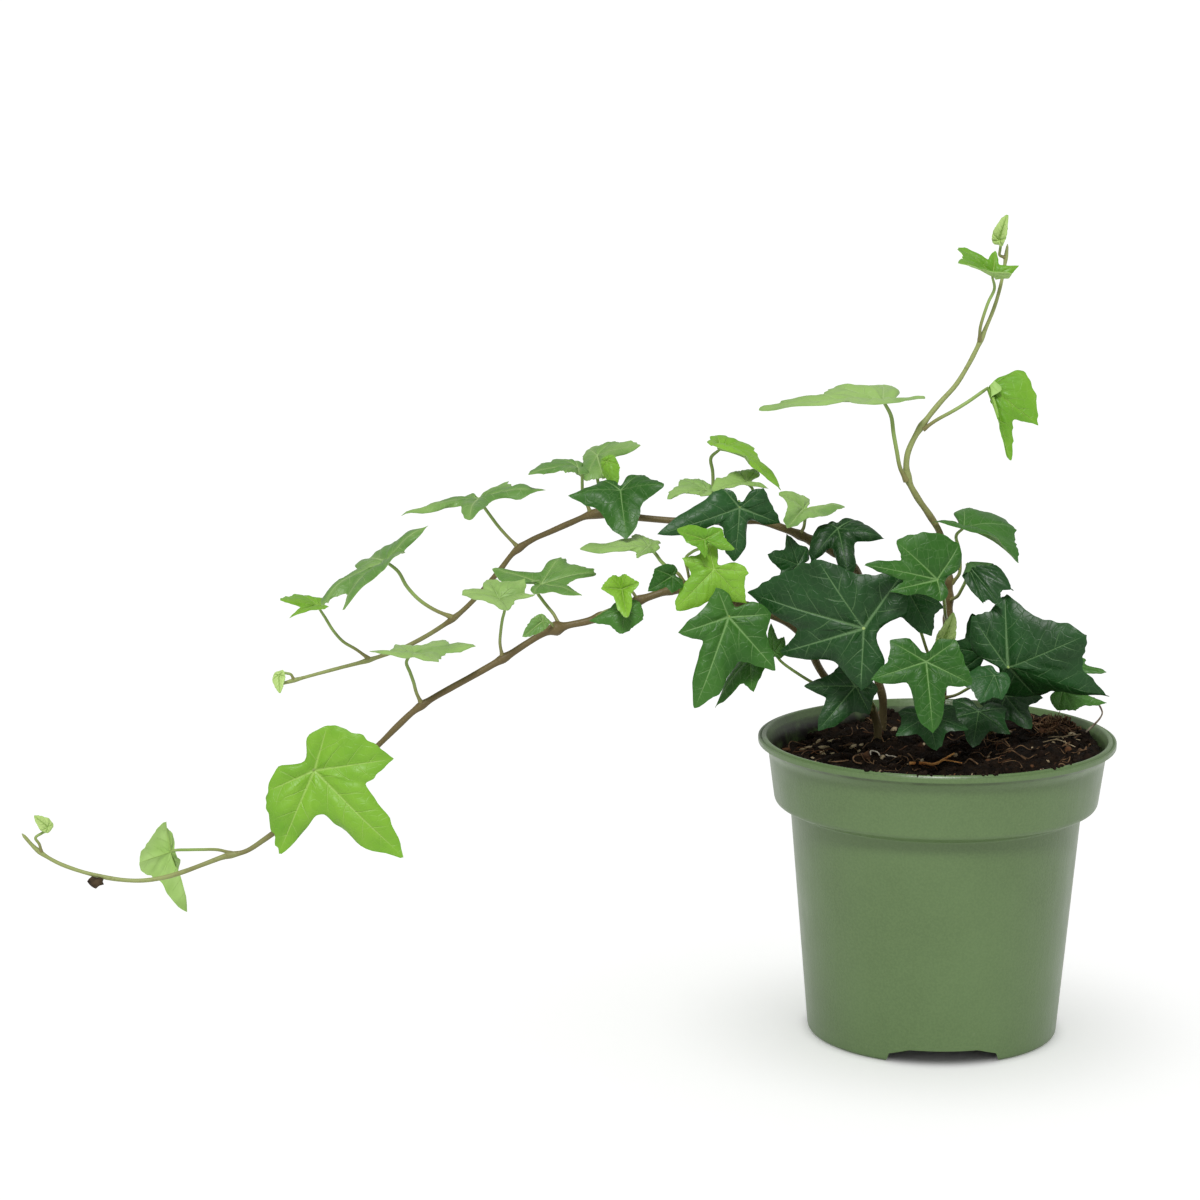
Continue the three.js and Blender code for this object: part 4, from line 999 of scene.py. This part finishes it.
def around_edge(rows, steps, roundness):
    """A closed curve through the rows, this many steps between them; 0 roundness is a sharp lobe tip."""
    following = np.roll(rows, -1, axis=0)
    chord = np.linalg.norm((following - rows)[:, :3], axis=1)[:, None] + 1e-9
    slope = (following - rows) / chord
    before, before_chord = np.roll(slope, 1, axis=0), np.roll(chord, 1, axis=0)
    tangent = (slope * before_chord + before * chord) / (chord + before_chord)
    tangent[list(LOBES)] *= roundness
    onward = np.roll(tangent, -1, axis=0)
    made = []
    for t in np.arange(steps) / steps:
        a = 2 * t ** 3 - 3 * t ** 2 + 1
        b = t ** 3 - 2 * t ** 2 + t
        c = t ** 3 - t ** 2
        made.append(a * rows + b * chord * tangent + (1 - a) * following + c * chord * onward)
    return np.stack(made, axis=1).reshape(-1, rows.shape[1])


def frilled(outline, centre, frill, seed):
    """Moves the edge in and out by about this share, as no leaf is cut smooth."""
    draw = np.random.default_rng(100 + seed)
    turn = even_angles(len(outline))
    shift = sum(np.sin(waves * turn + draw.uniform(0, PHASES)) for waves in EDGE_WAVES) / 2
    return centre + (outline - centre) * (1 + frill * shift)[:, None]


def blade_grid(palm, ring, edge, steps, rows, roundness, frill, seed):
    """Fine points of the upper face as [around, outward, (x, y, z, flat x, flat y)]."""
    flat_ring, flat_edge, angles = spread_flat(palm, ring, edge)
    centre = np.concatenate([palm, [0, 0]])
    middle = around_edge(np.hstack([ring, flat_ring]), steps, roundness=0.6)
    outline = around_edge(np.hstack([edge, flat_edge]), steps, roundness)
    outline = frilled(outline, centre, frill, seed)
    out = (np.arange(rows + 1) / rows)[None, :, None]
    to_centre = (out - HALF_WAY) * (out - 1) / HALF_WAY
    to_middle = out * (out - 1) / (HALF_WAY * (HALF_WAY - 1))
    to_edge = out * (out - HALF_WAY) / (1 - HALF_WAY)
    grid = to_centre * centre + to_middle * middle[:, None] + to_edge * outline[:, None]
    return grid, angles


def grid_normals(grid):
    around = np.roll(grid, -1, axis=0) - np.roll(grid, 1, axis=0)
    outward = np.gradient(grid, axis=1)
    normals = unit(np.cross(outward, around))
    normals[:, 0] = unit(normals[:, 1].mean(0))
    return normals


def beside_vein(flat, heading):
    """How far points of the flat leaf lie along the main vein with this heading, and to its left."""
    x, y = flat[..., 0], flat[..., 1]
    return x * np.cos(heading) + y * np.sin(heading), y * np.cos(heading) - x * np.sin(heading)


def relief(flat, heading, waviness, seed):
    """How far the fine surface stands above the plain one: veins sunk, quilted between, wavy edge."""
    reach = np.linspace(0, 1, flat.shape[1])[None]
    along, across = beside_vein(flat, heading[:, None])
    side = np.abs(across)
    phase = (along - side * (CHEVRON + VEIN_BEND * side)) / VEIN_SPACING + VEIN_STAGGER * (across > 0)
    quilt = np.sin(math.pi * phase) ** 2 * np.clip(side / VALLEY_WIDTH, 0, 1) * (1 - reach ** 6)
    groove = np.exp(-(side / VALLEY_WIDTH) ** 2) * np.clip(GROOVE_END - along, 0, 1)
    shift = np.random.default_rng(seed).uniform(0, PHASES, 4)
    x, y = flat[..., 0], flat[..., 1]
    wave = np.sin(7 * x + shift[0]) * np.cos(6 * y + shift[1])
    wave = wave + 0.7 * np.sin(15 * y + shift[2]) * np.cos(11 * x + shift[3])
    height = QUILT_HEIGHT * quilt - VEIN_DEPTH * groove + waviness * wave * reach ** 1.5
    return height - EDGE_DROP * reach ** 5


def blade_faces(count, rows):
    """The faces of the upper skin, the under skin and the rim between them, and their looks."""
    below = 1 + count * rows
    faces, looks = [], []
    for s in range(count):
        n = (s + 1) % count
        faces += [[0, 1 + s * rows, 1 + n * rows], [below, below + 1 + n * rows, below + 1 + s * rows]]
        for j in range(rows - 1):
            a, b = 1 + s * rows + j, 1 + n * rows + j
            faces += [[a, a + 1, b + 1, b], [below + a, below + b, below + b + 1, below + a + 1]]
        a, b = s * rows + rows, n * rows + rows
        faces.append([a, below + a, below + b, b])
        looks += [UPPER, UNDER] * rows + [UNDER]
    return faces, looks


def skin_points(grid):
    """The grid's points as blade_faces counts them: the palm once, then each spoke outward."""
    return np.vstack([grid[:1, 0], grid[:, 1:].reshape(-1, grid.shape[2])])


def blade_mesh(palm, ring, edge, habit, seed):
    """Points, faces, looks of the faces and corner UVs of a leaf blade."""
    lobe_lengths = np.linalg.norm(edge[list(LOBES)] - palm, axis=1)
    length = float(lobe_lengths.max())
    steps, rows = LARGE_GRID if length > LARGE_LEAF else SMALL_GRID
    roundness, frill, waviness = habit
    grid, angles = blade_grid(palm, ring, edge, steps, rows, roundness, frill, seed)
    count = len(grid)
    flat = grid[:, :, 3:] / length
    vein_angles = angles[list(LOBES)]
    lobe = np.searchsorted(SECTOR_ENDS, np.arange(count) / steps, side="right") % len(LOBES)
    normals = grid_normals(grid[:, :, :3])
    height = length * relief(flat, vein_angles[lobe], waviness, seed)
    upper = grid[:, :, :3] + normals * height[:, :, None]
    reach = np.linspace(0, 1, rows + 1)
    thin = BLADE_THICKNESS * (1 - 0.6 * reach ** 6)
    lower = upper - normals * thin[None, :, None]
    faces, looks = blade_faces(count, rows)
    corners = np.concatenate(faces)
    strip_lobe = np.searchsorted(SECTOR_ENDS, (np.arange(count) + 0.5) / steps) % len(LOBES)
    face_lobe = np.repeat(strip_lobe, 2 * rows + 1)
    corner_lobe = np.repeat(face_lobe, [len(face) for face in faces])
    out = np.concatenate([[0], np.tile(reach[1:], count)] * 2)
    along, across = beside_vein(np.vstack([skin_points(flat)] * 2)[corners], vein_angles[corner_lobe])
    uvs = {
        "vein": np.column_stack([along, across]),
        "reach": np.column_stack([out[corners], along / (lobe_lengths / length)[corner_lobe]]),
    }
    return np.vstack([skin_points(upper), skin_points(lower)]), faces, looks, uvs


def stalk_mesh(palm, normal, centres, radii):
    """A leaf stalk that swells into the stem and under the palm."""
    start = centres[0] + unit(centres[0] - centres[1]) * STALK_SINK
    radius = float(np.mean(radii))
    end = palm - normal * (0.8 * radius + 0.25 * MM)
    path = smooth_path(np.vstack([start, centres[1:], end]), 6)
    share = np.linspace(0, 1, len(path))
    return tube(path, radius * (0.92 + 0.5 * np.exp(-(share / 0.06) ** 2) - 0.25 * share ** 8), 10)


def make_leaf(node, slot, seed, materials):
    """A leaf on its stalk. Returns where the stalk leaves the stem."""
    palm, ring, edge, (centres, radii) = read_leaf(node)
    normal = unit(np.cross(ring - palm, np.roll(ring, -1, axis=0) - palm).sum(0))
    points, faces, looks, uvs = blade_mesh(palm, ring, edge, LEAF_HABITS[slot], seed)
    stalk, stalk_faces, along = stalk_mesh(palm, normal, centres, radii)
    start = len(points)
    faces += [[start + v for v in face] for face in stalk_faces]
    looks += [STALK] * len(stalk_faces)
    unused = np.zeros((sum(len(face) for face in stalk_faces), 2))
    uvs = {name: np.vstack([corners, unused]) for name, corners in uvs.items()}
    tone = BUD_TONE if node.endswith("_bud") else float(np.random.default_rng(seed).uniform(-1, 1))
    values = {"tone": np.full(start + len(stalk), tone),
              "growth": np.concatenate([np.ones(start), along / along.max()])}
    leaf = mesh_object(node + "_blade", np.vstack([points, stalk]), faces, materials, looks, uvs, values)
    sharpen(leaf, 60)
    finish_piece(leaf, slot, node)
    return centres[0]


def make_plant():
    slots = {row["node"]: row["material_slot"] for row in frame["record"]["subparts"]}
    stalk = stalk_material()
    paints = {slot: [leaf_top_material(slot), leaf_under_material(slot), stalk] for slot in LEAF_LOOKS}
    joints = {stem: [] for stem in STEM_YOUTH}
    leaves = sorted(node for node in slots if node.startswith("leaf_"))
    for seed, node in enumerate(leaves):
        foot = make_leaf(node, slots[node], seed, paints[slots[node]])
        joints[STEM_OF_LEAF[node.split("_")[1]]].append(foot)
    bark = bark_material()
    for stem in STEM_YOUTH:
        make_stem(stem, joints[stem], bark)


# ---- small dry pieces
CAD_TWIG_SIDES = 6
TWIG_SLIMMER = 0.75
BRANCH_PATH = [(0, 0, 0), (1.6, 0.6, 0.7), (4.4, 0.2, 0.5), (7, -1.6, 0.4)]  # from the fork, in millimetres


def read_twig(node):
    """Centres and radii of the CAD's twig or root, from its left end."""
    return read_tube(node, CAD_TWIG_SIDES, lambda centre: centre[0])


def make_root():
    """The dry hair root that curls up at the rim."""
    centres, radii = read_twig("dry_root")
    path = smooth_path(centres, 6)
    share = np.linspace(0, 1, len(path))
    radius = resampled(radii, len(path)) * (1 + 0.12 * wave_field(share, 0 * share, 0.3, 6, seed=6))
    points, faces, _ = tube(path, radius, 12)
    root = mesh_object("dead_root", points, faces, [dry_material("root_bark", "5d5245", "9a8f7d")])
    finish_piece(root, "dry_wood", "dry_root")


def make_twig():
    """The dead twig on the soil, with a thin side branch."""
    centres, radii = read_twig("dry_twig")
    path = smooth_path(centres, 4)
    branch = smooth_path(path[len(path) // 2] + np.array(BRANCH_PATH) * MM, 4)
    points, faces, _ = tube(path, TWIG_SLIMMER * resampled(radii, len(path)), 10)
    side_points, side_faces, _ = tube(branch, np.linspace(0.34, 0.14, len(branch)) * MM, 8)
    faces += [[len(points) + v for v in face] for face in side_faces]
    bark = dry_material("twig_bark", "9a5f30", "d8a25e")
    twig = mesh_object("dead_twig", np.vstack([points, side_points]), faces, [bark])
    finish_piece(twig, "dry_wood", "dry_twig")


def make_scrap():
    """A withered bud: a crumpled dark husk."""
    low, high = np.array(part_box("dried_scrap"))
    ball, faces = lump_shape()
    crumple = 1 + 0.3 * np.sin(ball @ [4.1, 2.2, 5.3]) + 0.22 * np.sin(ball @ [-7, 6, 3.5])
    points = (low + high) / 2 + np.clip(ball * crumple[:, None] * 0.8, -1, 1) * (high - low) / 2
    husk = mesh_object("dried_husk", points, faces, [dry_material("withered_husk", "1f1811", "4b3d2b")])
    finish_piece(husk, "withered_scrap", "dried_scrap")


# ---- stage
CAMERA_PLACE = (-0.101, -0.966, 0.313)
CAMERA_PITCH = 10.6  # degrees below the horizon
CAMERA_LENS = 99  # millimetres
SENSOR_WIDTH = 36  # millimetres
FLOOR_REACH = 60
FLOOR_WHITES = [(0.93, 0.93, 0.93, 1), (0.96, 0.96, 0.96, 1)]


def make_camera():
    data = bpy.data.cameras.new("camera")
    data.lens = CAMERA_LENS
    data.sensor_width = SENSOR_WIDTH
    camera = bpy.data.objects.new("camera", data)
    camera.location = CAMERA_PLACE
    camera.rotation_euler = (math.radians(90 - CAMERA_PITCH), 0, 0)
    bpy.context.scene.collection.objects.link(camera)
    bpy.context.scene.camera = camera


def make_sky(strength):
    world = bpy.data.worlds.new("studio")
    world.use_nodes = True
    background = world.node_tree.nodes["Background"]
    background.inputs["Color"].default_value = (1, 1, 1, 1)
    background.inputs["Strength"].default_value = strength
    bpy.context.scene.world = world


def make_key(height, turn, width, strength):
    """A wide even light from in front and above: degrees up, degrees to the left, degrees across."""
    data = bpy.data.lights.new("key", "SUN")
    data.angle = math.radians(width)
    data.energy = strength
    light = bpy.data.objects.new("key", data)
    up, left = math.radians(height), math.radians(turn)
    toward = Vector((-math.sin(left) * math.cos(up), -math.cos(left) * math.cos(up), math.sin(up)))
    light.rotation_euler = toward.to_track_quat("Z", "Y").to_euler()
    light.location = toward
    bpy.context.scene.collection.objects.link(light)


def keep_light_off(floor):
    """The key light leaves the floor alone: only the soft shade around the pot's foot is left."""
    lit = bpy.data.collections.new("lit_by_key")
    lit.objects.link(floor)
    bpy.data.objects["key"].light_linking.receiver_collection = lit
    lit.collection_objects[0].light_linking.link_state = "EXCLUDE"


def floor_material():
    """White, with a faint glow of its own that is weaker near the pot and gone under it: a painted shadow
    around and under the pot's foot.
    """
    paint = Paint("white_floor", 0.9)
    paint.set("Base Color", paint.mix(paint.noise(scale=3, detail=2), *FLOOR_WHITES))
    radius = from_axis(paint)[0]
    # the glow fades out toward the foot and stops under the pot: painted shadow
    outside_painted_shadow = paint.smooth(radius, BASE_RADIUS - 5 * MM, BASE_RADIUS + 4 * MM)
    near = paint.scaled(paint.smooth(radius, BASE_RADIUS, 2.4 * BASE_RADIUS), 0.1, 0.4)
    paint.set("Emission Color", (1, 1, 1, 1))
    paint.set("Emission Strength", paint.times(outside_painted_shadow, near))
    return paint.material


def make_stage():
    bpy.context.scene.view_settings.view_transform = "Standard"
    corners = [(x * FLOOR_REACH, y * FLOOR_REACH, 0) for x, y in ((-1, -1), (1, -1), (1, 1), (-1, 1))]
    floor = mesh_object("studio_floor", corners, [[0, 1, 2, 3]], [floor_material()])
    make_sky(strength=0.6)
    make_key(height=50, turn=6, width=15, strength=2.4)
    keep_light_off(floor)


# ---- everything
make_camera()
make_stage()
make_pot()
make_soil()
make_crumbs()
make_plant()
make_twig()
make_root()
make_scrap()
